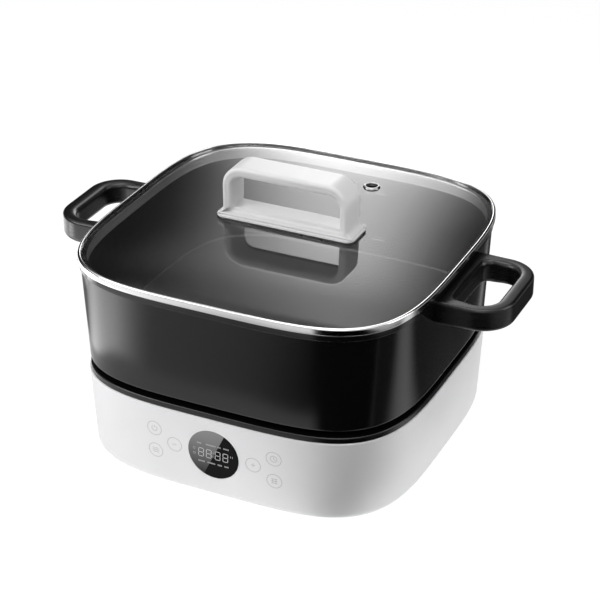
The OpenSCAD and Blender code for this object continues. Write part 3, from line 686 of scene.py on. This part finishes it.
def printWithPaintedGlow(name, dark, pale):
    # Print with a faint painted glow: it emits a little light of its own.
    n = Nodes(name)
    return n.set(Base_Color=n.blend(n.noise(900.0), tone(dark), tone(pale)), Roughness=0.4,
                 Emission_Color=(1, 1, 1, 1), Emission_Strength=0.06)


def makeDisplayGlass():
    edge = display.radius - display.play
    return turned("displayGlass", [
        (0, display.proud, 0), (edge - 0.4 * mm, display.proud, 0.25 * mm),
        (edge, 0.1 * mm, 0.1 * mm), (edge, -display.depth, 0.2 * mm),
        (0, -display.depth, 0)], False, 160)


def makeBezel():
    inside, wide = display.radius, display.bezel
    return turned("displayBezel", [
        (inside, -display.bezelDepth, 0), (inside + wide * 0.2, -display.bezelDepth, 0),
        (inside + wide, 0.02 * mm, 0.05 * mm), (inside + wide * 0.55, 0.35 * mm, 0.12 * mm),
        (inside, 0.22 * mm, 0.06 * mm)], True, 160)


place(move(makeDisplayGlass(), displayPlace), "base", displayFilmWithPaintedReflection(), "display_glass",
      "display_window")
place(move(makeBezel(), displayPlace), "base", bezelPaint, "white_plastic")


# Printed lines are given in millimetres, each as its path, width and whether it closes.
def line(width, *spots):
    return [Vector(spot) * mm for spot in spots], width * mm, False


def hoop(x, y, radius, width, count=56):
    return [spot * mm for spot in arcPath(x, y, radius, 0, 360, count)[:-1]], width * mm, True


def stroke(path, width, height, closed):
    # A flat raised line along a path in a plane, as points and faces.
    points, faces = [], []
    count = len(path)
    for i, here in enumerate(path):
        before = path[i - 1] if closed or i else here
        after = path[(i + 1) % count] if closed or i < count - 1 else here
        along = (after - before).normalized()
        side = Vector((-along.y, along.x)) * width / 2
        for spot, z in ((here + side, 0), (here + side, 1), (here - side, 1), (here - side, 0)):
            points.append(Vector((spot.x, spot.y, z * height)))
    for i in range(count if closed else count - 1):
        near, far = i * 4, (i + 1) % count * 4
        for k in range(4):
            turn = (k + 1) % 4
            faces.append((near + k, near + turn, far + turn, far + k))
    if not closed:
        faces += [(3, 2, 1, 0), tuple((count - 1) * 4 + k for k in range(4))]
    return points, faces


def strokes(name, lines, height):
    points, faces = [], []
    for path, width, closed in lines:
        own, sides = stroke(path, width, height, closed)
        faces += [tuple(len(points) + k for k in face) for face in sides]
        points += own
    return makeObject(name, points, faces, False)


figure = SimpleNamespace(width=4.3, height=7.8, line=0.46, pitch=6.9, gap=0.35, slant=0.06,
                         shift=0.5, colonGap=1.0, dotLine=0.6, dotX=(-0.35, 0.25), dotY=1.9)
marks = SimpleNamespace(
    rows=[(8.6, [(-14.0, 3.2), (-6.2, 8.2), (4.2, 3.0), (9.4, 4.6)]),
          (-8.6, [(-13.6, 5.6), (-5.4, 6.6), (3.6, 3.4), (9.6, 3.6)])],
    dash=0.7, dashWidth=1.3, pitch=1.0, hoopX=-17.0, hoopY=(2.6, -2.2), hoop=0.95,
    hoopLine=0.3, barX=(15.6, 17.2), barY=(1.2, 3.0), barLine=0.45)


def figureBars(x):
    # The seven bars of one figure.
    wide, tall, gap = figure.width / 2, figure.height / 2, figure.gap
    bars = [((gap - wide, y), (wide - gap, y)) for y in (tall, 0, -tall)]
    for side in (-wide, wide):
        bars += [((side, tall - gap), (side, gap)), ((side, -gap), (side, gap - tall))]
    return [line(figure.line, *[(x + across + up * figure.slant, up)
                                for across, up in ends]) for ends in bars]


def makeFigures():
    lines = []
    start = -1.5 * figure.pitch - figure.shift
    for i in range(4):
        lines += figureBars(start + i * figure.pitch + (figure.colonGap if i > 1 else 0))
    for y in (-figure.dotY, figure.dotY):
        lines.append(line(figure.dotLine, *[(x + y * figure.slant, y)
                                            for x in figure.dotX]))
    return strokes("displayFigures", lines, 0.06 * mm)


def makeSmallMarks():
    # Rows of plain dashes over and under the figures, with dots and bars beside them.
    lines = []
    for y, words in marks.rows:
        for x, length in words:
            spot = x
            while spot < x + length:
                lines.append(line(marks.dashWidth, (spot, y), (spot + marks.dash, y)))
                spot += marks.pitch
    lines += [hoop(marks.hoopX, y, marks.hoop, marks.hoopLine, 20)
              for y in marks.hoopY]
    lines += [line(marks.barLine, *[(x, y) for y in marks.barY]) for x in marks.barX]
    return strokes("displayMarks", lines, 0.05 * mm)


printPlace = displayPlace @ Matrix.Translation((0, 0, display.proud - 0.01 * mm))
place(move(makeFigures(), printPlace), "base", printWithPaintedGlow("display figures", 190, 210),
      "display_glass", shade=False)
place(move(makeSmallMarks(), printPlace), "base", printWithPaintedGlow("display small marks", 140, 160),
      "display_glass", shade=False)

keys = measures(dict(proud=0.05, sunk=0.2), outer=53, inner=35, rise=10.6, ring=6.4, line=0.5)
keySpots = [(-keys.outer, keys.rise, "switch"), (-keys.outer, -keys.rise, "waves"),
            (-keys.inner, 0, "minus"), (keys.inner, 0, "plus"),
            (keys.outer, keys.rise, "timer"), (keys.outer, -keys.rise, "grid")]


def keyIcon(kind):
    thin = keys.line
    level = line(thin, (-2, 0), (2, 0))
    if kind == "minus":
        return [level]
    if kind == "plus":
        return [level, line(thin, (0, -2), (0, 2))]
    if kind == "switch":
        return [line(thin, *arcPath(0, 0, 2.4, 125, 415)), line(thin, (0, 0.6), (0, 3))]
    if kind == "waves":
        return [line(thin, *[(x * 0.5, y + 0.5 * sin(x * 0.9)) for x in range(-6, 7)])
                for y in (-1.7, 0, 1.7)]
    if kind == "timer":
        return [hoop(0, 0, 2.8, thin), line(thin, (0, 1.8), (0, 0), (1.3, -0.9))]
    return ([line(thin, (-2.6, y), (2.6, y)) for y in (-2, 0, 2)]
            + [line(thin, (x, -2), (x, 2)) for x in (-1.3, 1.3)])


def makeKeys():
    lines = []
    for x, y, kind in keySpots:
        centre = Vector((x, y)) * mm
        lines.append(hoop(x, y, keys.ring, keys.line))
        for path, width, closed in keyIcon(kind):
            lines.append(([spot + centre for spot in path], width, closed))
    obj = strokes("keyPrint", lines, 1.0)
    for vertex in obj.data.vertices:
        x, y, out = vertex.co
        vertex.co = frontPoint(x, display.centre + y,
                               keys.proud if out > 0.5 else -keys.sunk)
    return obj


place(makeKeys(), "base", keyPaint, "white_plastic", shade=False)


print("pot")
pot = measures(dict(wall=3, lip=5.5, lipOut=0.9, floor=3.5, taper=3.2, outerRound=3.4,
                    innerRound=2.4, wallLow=3))
potTopHalf = lipHalf - pot.lipOut
potLowHalf = potTopHalf - pot.taper
lipLow = lipTop - pot.lip


def makePot():
    wall, floorTop = pot.wall, floorLow + pot.floor
    outside = rounded([
        (0, floorLow, 0), (potLowHalf, floorLow, pot.outerRound),
        (potTopHalf, lipLow, 0.35 * mm), (lipHalf, lipLow + 0.7 * mm, 0.5 * mm),
        (lipHalf, lipTop, 0.8 * mm), (potTopHalf - wall * 0.4, lipTop, 0)])
    inside = rounded([
        (potTopHalf - wall * 0.6, lipTop, 0), (potTopHalf - wall, lipTop, 0.7 * mm),
        (potTopHalf - wall, lipLow, 0), (potLowHalf - wall, floorTop, pot.innerRound),
        (0, floorTop, 0)])
    body = skin("potShell", [ring(max(p.x, 0.1 * mm), p.y) for p in outside + inside])
    firstInside = (len(outside) - 1) * around
    return twoFinishes(body, potPaint, potCoating,
                       lambda face: min(face.vertices) >= firstInside)


place(makePot(), "pot", None, "pot_coating", "pot_body")

disc = measures(dict(grooveDepth=0.4, grooveTop=0.9, grooveFoot=0.5),
                radius=high("pot_base_disc").x, low=low("pot_base_disc").z,
                grooves=(32 * mm, 52 * mm, 72 * mm))


def makeDisc():
    bottom, deep = disc.low, disc.low + disc.grooveDepth
    wide, narrow = disc.grooveTop, disc.grooveFoot
    corners = [(0, bottom, 0)]
    for groove in disc.grooves:
        corners += [(groove - wide, bottom, 0.1 * mm), (groove - narrow, deep, 0.1 * mm),
                    (groove + narrow, deep, 0.1 * mm), (groove + wide, bottom, 0.1 * mm)]
    corners += [(disc.radius - 0.4 * mm, bottom, 0.5 * mm),
                (disc.radius, bottom + 0.6 * mm, 0.3 * mm),
                (disc.radius, floorLow, 0), (0, floorLow, 0)]
    return turned("heatDisc", corners, False, 192)


place(makeDisc(), "pot", discMetal, "disc_aluminium", "pot_base_disc")


def wallHalf(z):
    # Half width of the pot's outside at a level of its wall.
    wallLow = floorLow + pot.wallLow
    return potLowHalf + (potTopHalf - potLowHalf) * (z - wallLow) / (lipLow - wallLow)


handle = measures(dict(corner=28, bar=13, arm=11, root=9, rootIn=4, rootRound=2, edge=2.6,
                       lowEdge=4.5, innerEdge=4.6, innerCorner=15, rootCorner=9, swell=0.2,
                       sunk=0.8, recessY=9, recess=2.8, recessDepth=2.15, recessIn=2.6),
                  reach=high("pot_handle_right").x, half=high("pot_handle_right").y)


def loopPath(rootX, reach, half, rootRound, corner):
    # A closed loop seen from above, from the wall side around the outer bar.
    rootY, cornerY = half - rootRound, half - corner
    return track([(rootX + rootRound, -rootY, rootRound, 180, 270, 10, 14),
                  (reach - corner, -cornerY, corner, 270, 360, 22, 10),
                  (reach - corner, cornerY, corner, 0, 90, 22, 14),
                  (rootX + rootRound, rootY, rootRound, 90, 180, 10, 14)])


def makePotHandle(name, side):
    h = handle
    rootX = wallHalf(gripTop)
    outer = loopPath(rootX - h.rootIn, h.reach, h.half, h.rootRound, h.corner)
    inner = loopPath(rootX + h.root, h.reach - h.bar, h.half - h.arm,
                     h.rootCorner, h.innerCorner)
    half = (gripTop - gripLow) / 2
    middle = gripLow + half

    # A section's points: their loop (1 outer, 0 inner, 0.5 between), inset and height.
    def edge(loop, radius, sign, rising):
        turns = [radians(9 * k) for k in range(11)]
        return [(loop, radius * (1 - cos(turn)), sign * (half - radius + radius * sin(turn)))
                for turn in (turns if rising else turns[::-1])]

    section = (edge(1, h.lowEdge, -1, False) + edge(1, h.edge, 1, True)
               + [(0.5, 0, half + h.swell)] + edge(0, h.innerEdge, 1, False)
               + edge(0, h.innerEdge, -1, True) + [(0.5, 0, -half)])
    rings = []
    for outside, inside in zip(outer, inner):
        across = (outside - inside).normalized()
        row = []
        for loop, inset, z in section:
            spot = outside.lerp(inside, 0.5)
            if loop != 0.5:
                spot = outside - across * inset if loop else inside + across * inset
            wall = squareSide(wallHalf(middle + z), spot.y) - h.sunk
            row.append(Vector((max(spot.x, wall) * side, spot.y * side, middle + z)))
        rings.append(row)
    obj = skin(name, rings, True)
    cut(obj, [move(rod("recess", h.recess, gripLow - 2 * mm, gripLow + h.recessDepth, 32),
                   Matrix.Translation((side * (rootX + h.recessIn), y, 0)))
              for y in (-h.recessY, h.recessY)])
    return obj


place(makePotHandle("rightHandle", 1), "pot", blackHandle, "handle_plastic", "pot_handle_right")
place(makePotHandle("leftHandle", -1), "pot", blackHandle, "handle_plastic", "pot_handle_left")

levels = measures(dict(proud=0.08, sunk=0.3), x=18, half=6, heights=(107, 152), line=0.6,
                  tickPitch=2.6, tickLine=0.5, tickRise=(1.4, 3.6))


def makeLevelMarks():
    # Plain level lines on the inner back wall, each with three ticks above it.
    lines = []
    x, half = levels.x, levels.half
    for z in levels.heights:
        lines.append(line(levels.line, *[(x - half + half * k / 4, z) for k in range(9)]))
        for k in (-1, 0, 1):
            lines.append(line(levels.tickLine, *[(x + k * levels.tickPitch, z + rise)
                                                 for rise in levels.tickRise]))
    obj = strokes("levelMarks", lines, 1.0)
    for vertex in obj.data.vertices:
        x, z, out = vertex.co
        lift = levels.proud if out > 0.5 else -levels.sunk
        vertex.co = Vector((x, squareSide(wallHalf(z) - pot.wall - lift, x), z))
    return obj


place(makeLevelMarks(), "pot", markPaint, "pot_coating", shade=False)


print("lid")
lid = measures(dict(glass=3.6, dome=5.6, sheet=0.8, edge=1.4, edgeRound=0.3, screwHole=3),
               steps=44)
glassEdgeTop = crown - lid.dome
domeHalf = rimHalf - 2.6 * mm
screwX = high("lid_handle_screws").x - 3.8 * mm


def glassLevel(half):
    return glassEdgeTop + lid.dome * (1 - min(1.0, half / domeHalf) ** 4)


vent = measures(dict(x=32, y=92, radius=7.25, hole=5.25, bore=3.95, mouth=5.1, low=-5.6, hem=-4.6,
                     play=0.15))
ventHalf = (vent.x ** 4 + vent.y ** 4) ** 0.25
ventLean = atan2(4 * lid.dome * ventHalf ** 3 / domeHalf ** 4, 1)
ventPlace = (Matrix.Translation((vent.x, vent.y, glassLevel(ventHalf)))
             @ Matrix.Rotation(atan2(vent.y ** 3, vent.x ** 3), 4, "Z")
             @ Matrix.Rotation(ventLean, 4, "Y"))


def makeGlass():
    halves = [domeHalf * sin(pi / 2 * k / lid.steps) for k in range(1, lid.steps + 1)]
    edge, bend = rimHalf - lid.edge, lid.edgeRound
    lowLevel = glassEdgeTop - lid.glass
    shrink = (high("lid_rim").x - 6.4 * mm) / domeHalf
    rings = [ring(half, glassLevel(half)) for half in halves]
    rings += [ring(edge - bend, glassEdgeTop), ring(edge, glassEdgeTop - bend),
              ring(edge, lowLevel + bend), ring(edge - bend, lowLevel)]
    rings += [ring(half * shrink, glassLevel(half) - lid.glass) for half in reversed(halves)]
    obj = skin("lidGlass", rings)
    holes = [move(rod("hole", lid.screwHole, crown - 9 * mm, crown + 4 * mm, 32),
                  Matrix.Translation((x, 0, 0))) for x in (-screwX, screwX)]
    holes.append(move(rod("hole", vent.hole, -9 * mm, 6 * mm, 48), ventPlace))
    cut(obj, holes)
    return obj


place(makeGlass(), "lid", lidGlassFinish, "lid_glass", "lid_glass")

rim = measures(dict(top=2.1, groove=0.4, hem=0.3), skirt=lipTop - low("lid_rim").z,
               skirtHalf=lipHalf - 5.5 * mm)


def makeRim():
    sheet = lid.sheet
    skirt, skirtLow = rim.skirtHalf, lipTop - rim.skirt
    groove, hem = skirt + rim.groove, skirt - rim.hem
    lip = rimHalf - rim.top
    under = rimHalf - sheet - 0.5 * mm
    seat = glassEdgeTop - 0.02 * mm
    obj = squared("steelRim", [
        (skirt + sheet, skirtLow, 0.3 * mm), (skirt + sheet, lipTop, 0.5 * mm),
        (rimHalf, lipTop, 1.2 * mm), (rimHalf, rimTop, 1.5 * mm), (lip, rimTop, 0.5 * mm),
        (lip, seat, 0.1 * mm), (under, seat, 0), (under, lipTop + sheet, 0),
        (skirt, lipTop + sheet, 0.5 * mm), (skirt, lipTop - 1.2 * mm, 0),
        (groove, lipTop - 1.6 * mm, 0), (groove, lipTop - 2.1 * mm, 0),
        (skirt, lipTop - 2.5 * mm, 0), (skirt, skirtLow + 1.4 * mm, 0),
        (hem, skirtLow + 1 * mm, 0.2 * mm), (hem, skirtLow, 0.3 * mm)])
    return twoFinishes(obj, rimSteel, skirtSteel,
                       lambda face: face.center.z < lipTop - 0.4 * mm)


place(makeRim(), "lid", None, "rim_steel", "lid_rim")


def makeEyelet():
    v = vent
    sleeve, hem = v.hole - v.play, v.radius - 0.4 * mm
    obj = turned("ventEyelet", [
        (v.mouth, 1.5 * mm, 0.4 * mm), (v.radius - 1.2 * mm, 1.9 * mm, 0.9 * mm),
        (v.radius, 0.4 * mm, 0.5 * mm), (v.radius, -0.1 * mm, 0.1 * mm),
        (sleeve, -0.1 * mm, 0), (sleeve, v.hem, 0.1 * mm), (hem, v.hem, 0.2 * mm),
        (hem, v.low, 0.3 * mm), (v.bore, v.low, 0.3 * mm),
        (v.bore, -0.4 * mm, 0.2 * mm), (v.mouth, 0.4 * mm, 0.2 * mm)], True, 96)

    # The bore gets the black handle plastic: painted shade that makes the hole look dark.
    def inPaintedDarkBore(face):
        return (Vector(face.center[:2]).length < v.mouth + 0.1 * mm
                and face.center.z < 1.2 * mm)

    return move(twoFinishes(obj, eyeletSteel, blackHandle, inPaintedDarkBore), ventPlace)


place(makeEyelet(), "lid", None, "rim_steel", "vent_eyelet")

grip = measures(dict(length=112, depth=27, leg=8, cap=9.5, corner=18, innerCorner=9, sillCorner=3,
                     sillDepth=9, sillEdge=1.3, edge=2.4, lip=1.2, lipDrop=0.3, lipRun=0.3,
                     bevel=3.4, flangeLength=123, flangeDepth=34, flangeCorner=7, flareIn=1.4),
                sill=gasketTop + 8 * mm, sillTop=0.25, sillFoot=0.35, flareLow=gasketTop + 3 * mm,
                flareTop=gasketTop + 9.5 * mm)


def archPath(half, lowZ, topZ, lowCorner, topCorner):
    lowX, topX = half - lowCorner, half - topCorner
    bendLow, bendTop = lowZ + lowCorner, topZ - topCorner
    return track([(lowX, bendLow, lowCorner, 270, 360, 8, 12),
                  (topX, bendTop, topCorner, 0, 90, 22, 20),
                  (-topX, bendTop, topCorner, 90, 180, 22, 12),
                  (-lowX, bendLow, lowCorner, 180, 270, 8, 20)])


def archFront(span):
    # Half depth of the arch, from its opening (span 0) out to the leg's width.
    g = grip
    front = g.depth / 2
    edgeStart = g.leg - g.edge
    bevelRun = edgeStart - g.lip
    if span < bevelRun:
        rise = 1 - span / bevelRun
        return front - g.lipDrop - g.bevel * (1 - (1 - rise ** 2.2) ** 0.5)
    if span < edgeStart:
        return front - g.lipDrop * max(0.0, 1 - (span - bevelRun) / g.lipRun)
    rise = (span - edgeStart) / g.edge
    return front - g.edge * (1 - max(0.0, 1 - rise * rise) ** 0.5)


def sillFront(share):
    # Half depth of the sill, from its flat top (0) down to the flange (1).
    g = grip
    top = g.sillEdge * (1 - (1 - min(1.0, share / g.sillTop)) ** 2) ** 0.5
    flare = max(0.0, (share - g.sillFoot) / (1 - g.sillFoot)) ** 4.5
    return g.sillDepth - g.sillEdge + top + flare * (g.depth / 2 - g.sillDepth)


def makeArch():
    g = grip
    half = g.length / 2
    outer = archPath(half, g.flareLow, gripHeight, 0.01 * mm, g.corner)
    inner = archPath(half - g.leg, g.sill, gripHeight - g.cap, g.sillCorner,
                     g.innerCorner)
    edgeShare = 1 - g.edge / g.leg
    bevelShare = 1 - (g.edge + g.lip) / g.leg
    shares = [bevelShare * k / 9 for k in range(10)]
    shares += [bevelShare + g.lipRun / g.leg, edgeShare]
    shares += [1 - (1 - edgeShare) * (1 - sin(radians(15 * k))) for k in range(1, 7)]
    spreadX = (g.flangeLength - g.length) / 2 - g.flareIn
    spreadY = (g.flangeDepth - g.depth) / 2 - g.flareIn
    rings = []
    for outside, inside in zip(outer, inner):
        sill = (g.sill + g.sillCorner - inside.y) / g.sillCorner
        sill = min(1.0, max(0.0, sill))
        sill = sill * sill * (3 - 2 * sill)
        row = []
        for side, order in ((-1, shares), (1, shares[::-1])):
            for share in order:
                spot = inside.lerp(outside, share)
                front = archFront(share * g.leg) * (1 - sill) + sillFront(share) * sill
                row.append(Vector((spot.x, side * front, spot.y)))
        for spot in row:
            down = (g.flareTop - spot.z) / (g.flareTop - g.flareLow)
            down = min(1.0, max(0.0, down))
            swell = 1 - (1 - down * down) ** 0.5
            spot.x += swell * spreadX * max(-1.0, min(1.0, spot.x / (half - g.leg)))
            spot.y += swell * spreadY * spot.y / (g.depth / 2)
        rings.append(row)
    return skin("gripArch", rings, True)


def makeFlange():
    # Each outline is how far it is drawn in, and its height, in millimetres.
    outlines = [(0.5, 0), (0.1, 0.15), (0, 0.5), (0, 1.7), (0.15, 2.05), (0.5, 2.2),
                (1.2, 2.2), (1.4, 1.9), (1.6, 1.9), (1.8, 2.2), (1.8, 2.8), (2.0, 3.3),
                (2.4, 3.6), (3.2, 3.7)]
    rings = [roundRect(grip.flangeLength - 2 * inset * mm,
                       grip.flangeDepth - 2 * inset * mm,
                       grip.flangeCorner - inset * mm, gasketTop + z * mm, 12)
             for inset, z in outlines]
    return skin("gripFlange", rings)


seal = measures(dict(inset=0.6), bottom=crown - 0.3 * mm, top=gasketTop + 0.05 * mm)


def makeSeal():
    bottom, top = seal.bottom, seal.top
    edge = (top - bottom) * 0.3
    near = edge * 0.3
    outlines = [(edge, bottom), (near, bottom + near), (0, bottom + edge), (0, top - edge),
                (near, top - near), (edge, top)]
    rings = []
    for inset, z in outlines:
        inset += seal.inset
        rings.append(roundRect(grip.flangeLength - 2 * inset, grip.flangeDepth - 2 * inset,
                               grip.flangeCorner - inset, z, 12))
    return skin("gripSeal", rings)


lidGrip = join("lidGrip", [makeArch(), makeFlange()])
place(lidGrip, "lid", whiteHandle, "lid_handle_plastic", "lid_handle")
place(makeSeal(), "lid", sealRubber, "silicone", "handle_gasket")


print("inner pieces")          # these keep their solid and get a finish
dress(whiteShell, "base_bottom_cover")
dress(sealRubber, "plate_gasket", "vent_washer")
dress(sheathMetal, "heating_element")
dress(sheetSteel, "heat_shield", "heat_sink", "handle_bracket_left", "handle_bracket_right",
      "handle_backing")
dress(screwSteel, "foot_screws", "shield_screws", "board_screws", "display_screws",
      "inlet_screws", "handle_screws_left", "handle_screws_right", "lid_handle_screws",
      "sensor_spring", "touch_springs")
dress(blackTrim, "sensor_guide", "inlet_housing", "display_module")
dress(fuseBody, "thermal_fuse")
dress(boardGreen, "power_board", "display_board")
dress(relayBlue, "power_relay")
dress(coilTape, "transformer")
dress(sleeveBlack, "capacitors")
dress(wireSleeve, "heater_wires", "mains_wires")
dress(pinBrass, "inlet_pins")


print("stage")
view = SimpleNamespace(azimuth=25.26, elevation=28.72, distance=1.62076, lens=114.42, sensor=36,
                       aim=(-0.00424, 0.02619, 0.1))


def toward(azimuth, elevation):
    # The direction to something around the object, from straight ahead to the right.
    azimuth, elevation = radians(azimuth), radians(elevation)
    return Vector((sin(azimuth) * cos(elevation), -cos(azimuth) * cos(elevation),
                   sin(elevation)))


def setUp(obj, centre, direction, distance):
    # Stands off the centre and looks back at it.
    obj.location = Vector(centre) + direction * distance
    obj.rotation_euler = direction.to_track_quat("Z", "Y").to_euler()
    scene.collection.objects.link(obj)


def makeCamera():
    data = bpy.data.cameras.new("camera")
    data.lens = view.lens
    data.sensor_width = view.sensor
    scene.camera = bpy.data.objects.new("camera", data)
    setUp(scene.camera, view.aim, toward(view.azimuth, view.elevation),
          view.distance)


def flat(name, x, y, z):
    return makeObject(name, [(x[0], y[0], z), (x[1], y[0], z), (x[1], y[1], z), (x[0], y[1], z)],
                      [(0, 1, 2, 3)])


floorLook = SimpleNamespace(half=8, white=1.26, mirror=0.9, shadow=0.3, tint=0.7, bounce=0.62)


def makeFloor():
    # White with the object's shadow where it is seen, and softer light elsewhere.
    span = (-floorLook.half, floorLook.half)
    obj = flat("floor", span, span, 0)
    n = Nodes("floor")
    tint = floorLook.tint
    path = n.add("ShaderNodeLightPath").outputs
    n.set(Base_Color=(tint, tint, tint, 1), Roughness=0.9, Emission_Color=(1, 1, 1, 1),
          Emission_Strength=n.math("MULTIPLY", path["Is Diffuse Ray"], floorLook.bounce))
    plain = n.shader.outputs[0]
    seen = n.either(floorLook.shadow, n.glow(floorLook.white), plain)
    direct = n.math("MAXIMUM", path["Is Camera Ray"], path["Is Transmission Ray"])
    n.surface(n.either(path["Is Glossy Ray"], n.either(direct, plain, seen),
                       n.glow(floorLook.mirror)))
    obj.data.materials.append(n.material)


skyLook = SimpleNamespace(ambient=0.2, dark=0.03, bright=1.0, begin=0.32, end=0.6,
                          lean=(0, -0.35, 0.94))


def makeSky():
    # White where it is seen, and dark low behind where the glass mirrors it.
    scene.world = bpy.data.worlds.new("sky")
    n = Nodes("sky", scene.world)
    path = n.add("ShaderNodeLightPath").outputs
    lean = n.add("ShaderNodeVectorMath", operation="DOT_PRODUCT")
    lean.inputs[1].default_value = skyLook.lean
    n.link(n.places["Generated"], lean.inputs[0])
    ramp = n.remap(lean.outputs["Value"], skyLook.begin, skyLook.end, skyLook.dark,
                   skyLook.bright, True)
    bounces = n.math("ADD", path["Glossy Depth"], path["Diffuse Depth"], True)
    straight = n.math("SUBTRACT", path["Is Transmission Ray"], bounces, True)
    clear = n.math("MAXIMUM", path["Is Camera Ray"], straight, True)
    through = n.math("MULTIPLY", path["Is Transmission Ray"], path["Glossy Depth"], True)
    mirrored = n.math("MAXIMUM", path["Is Glossy Ray"], through, True)
    lit = n.blend(mirrored, skyLook.ambient, ramp, "FLOAT")
    n.fill(n.tree.nodes["Background"], Color=(1, 1, 1, 1),
           Strength=n.blend(clear, lit, 1.0, "FLOAT"))


def finishCard(obj, n, strength, cover):
    # Shows only in glossy surfaces, and not from below, where it would shade the floor.
    below = n.add("ShaderNodeNewGeometry").outputs["Backfacing"]
    through = n.add("ShaderNodeBsdfTransparent").outputs[0]
    cover = n.math("MULTIPLY", cover, n.math("SUBTRACT", 1.0, below))
    n.surface(n.either(cover, through, n.glow(strength)))
    obj.data.materials.append(n.material)
    for kind in ("camera", "diffuse", "transmission", "volume_scatter", "shadow"):
        setattr(obj, "visible_" + kind, False)


backCard = SimpleNamespace(y=0.6, x=(-1.1, 0.5), z=(0.2, 1.0), centre=-0.21, fade=0.1,
                           width=(0.1, 0.16), strength=(4.8, 2.4), turn=(0.5, 0.75))


def makeBackCard():
    # A soft light behind the object that the lid's glass mirrors.
    c = backCard
    left, right = c.x
    bottom, top = c.z
    obj = makeObject("backCard", [(left, c.y, bottom), (right, c.y, bottom),
                                  (right, c.y, top), (left, c.y, top)], [(0, 1, 2, 3)])
    n = Nodes("back card")
    x, z = n.parts()[::2]
    width = n.remap(z, *c.turn, *c.width, True)
    power = n.remap(z, *c.turn, *c.strength, True)
    offset = n.math("DIVIDE", n.math("SUBTRACT", x, c.centre), width)
    fall = n.math("EXPONENT", n.math("MULTIPLY", n.math("MULTIPLY", offset, offset), -0.5))
    finishCard(obj, n, n.math("MULTIPLY", fall, power),
               n.remap(z, top - c.fade, top, 1.0, 0.0, True))


sweep = SimpleNamespace(end=0.66, right=0.14, back=0.3, hole=(0.268, 0.284),
                        front=(-0.445, -0.425), left=0.06, base=0.02,
                        glow=((-20, 30, 0.6), (28, 50, 2.9), (66, 92, -3.25)),
                        outer=(0.445, 0.465), outerGlow=1.2)


def makeSweepCard():
    # A card around the front and left of the object. Its glow adds up ramps, each as
    # (from, to, strength), by the angle from straight ahead to the left. Beyond the
    # reach of the pot's mirror, where only the rim sees it, it has one strength.
    c = sweep
    obj = flat("sweepCard", (-c.end, c.right), (-c.end, c.back), 0.001)
    n = Nodes("sweep card")
    x, y = n.parts()[:2]
    angle = n.math("ARCTAN2", n.math("MULTIPLY", x, -1.0), n.math("MULTIPLY", y, -1.0))
    total = c.base
    for start, end, strength in c.glow:
        ramp = n.remap(angle, radians(start), radians(end), 0.0, strength, True)
        total = n.math("ADD", ramp, total)
    span = n.length(x, y)
    total = n.math("ADD", n.math("MULTIPLY", total, n.remap(span, *c.outer, 1.0, 0.0, True)),
                   n.remap(span, *c.outer, 0.0, c.outerGlow, True))
    fourth = [n.math("POWER", n.math("ABSOLUTE", part), 4.0) for part in (x, y)]
    reach = n.math("POWER", n.math("ADD", *fourth), 0.25)
    near = n.remap(reach, *c.hole, 0.0, 1.0, True)
    front = n.remap(y, *c.front, 0.0, 1.0, True)
    left = n.remap(x, -c.end, c.left - c.end, 0.0, 1.0, True)
    finishCard(obj, n, total, n.math("MULTIPLY", near, n.math("MULTIPLY", front, left)))


# Each card is x from and to, y from and to, soft edge, strength, turn and height.
cards = {"handleCard": ((-0.7, -0.37), (-0.08, 0.3), 0.04, 2.6, 0, 0.002),
         "gripCard": ((-0.54, -0.425), (-0.24, -0.08), 0.02, 7.5, 0, 0.0022),
         "rimCard": ((0.425, 0.7), (-0.33, 0.1), 0.01, 0.45, 0, 0.004),
         "cornerCard": ((0.07, 0.7), (-0.75, -0.12), 0.04, 0.0, 0, 0.0015),
         "farCard": ((-0.06, 0.17), (0.2, 0.8), 0.03, 0.05, 0, 0.0028),
         "sideCard": ((0.152, 0.75), (-0.16, 0.9), 0.03, 0.05, 0, 0.0025),
         "stripCard": ((0.1, 0.58), (-0.03, 0.13), 0.07, 0.85, 32, 0.003)}


def makeCard(name, xSpan, ySpan, soft, strength, turn, height):
    halfX, halfY = (xSpan[1] - xSpan[0]) / 2, (ySpan[1] - ySpan[0]) / 2
    obj = flat(name, (-halfX, halfX), (-halfY, halfY), 0)
    obj.location = (sum(xSpan) / 2, sum(ySpan) / 2, height)
    obj.rotation_euler = (0, 0, radians(turn))
    n = Nodes(name)
    x, y = n.parts()[:2]
    wide = n.remap(n.math("ABSOLUTE", x), halfX - soft, halfX, 1.0, 0.0, True)
    tall = n.remap(n.math("ABSOLUTE", y), halfY - soft, halfY, 1.0, 0.0, True)
    finishCard(obj, n, strength, n.math("MULTIPLY", wide, tall))


lampCentre = (0, 0, 0.1)
# Each lamp is its azimuth, elevation, distance, size and power.
lamps = {"key": (-46, 30, 1.9, (1.0, 1.0), 16), "side": (105, 22, 1.9, (1.0, 1.0), 9.6),
         "top": (5, 80, 1.7, (1.3, 1.0), 11.5), "fill": (20, 35, 1.9, (0.8, 0.8), 2.5)}


def makeLamp(name, azimuth, elevation, distance, size, power):
    data = bpy.data.lights.new(name, "AREA")
    data.shape = "RECTANGLE"
    data.size, data.size_y = size
    data.energy = power
    setUp(bpy.data.objects.new(name, data), lampCentre, toward(azimuth, elevation), distance)


makeCamera()
makeFloor()
makeSky()
makeBackCard()
makeSweepCard()
for name, card in cards.items():
    makeCard(name, *card)
# This dark one also holds back the floor's light at the front right corner.
bpy.data.objects["cornerCard"].visible_diffuse = True
for name, lamp in lamps.items():
    makeLamp(name, *lamp)

print("done")
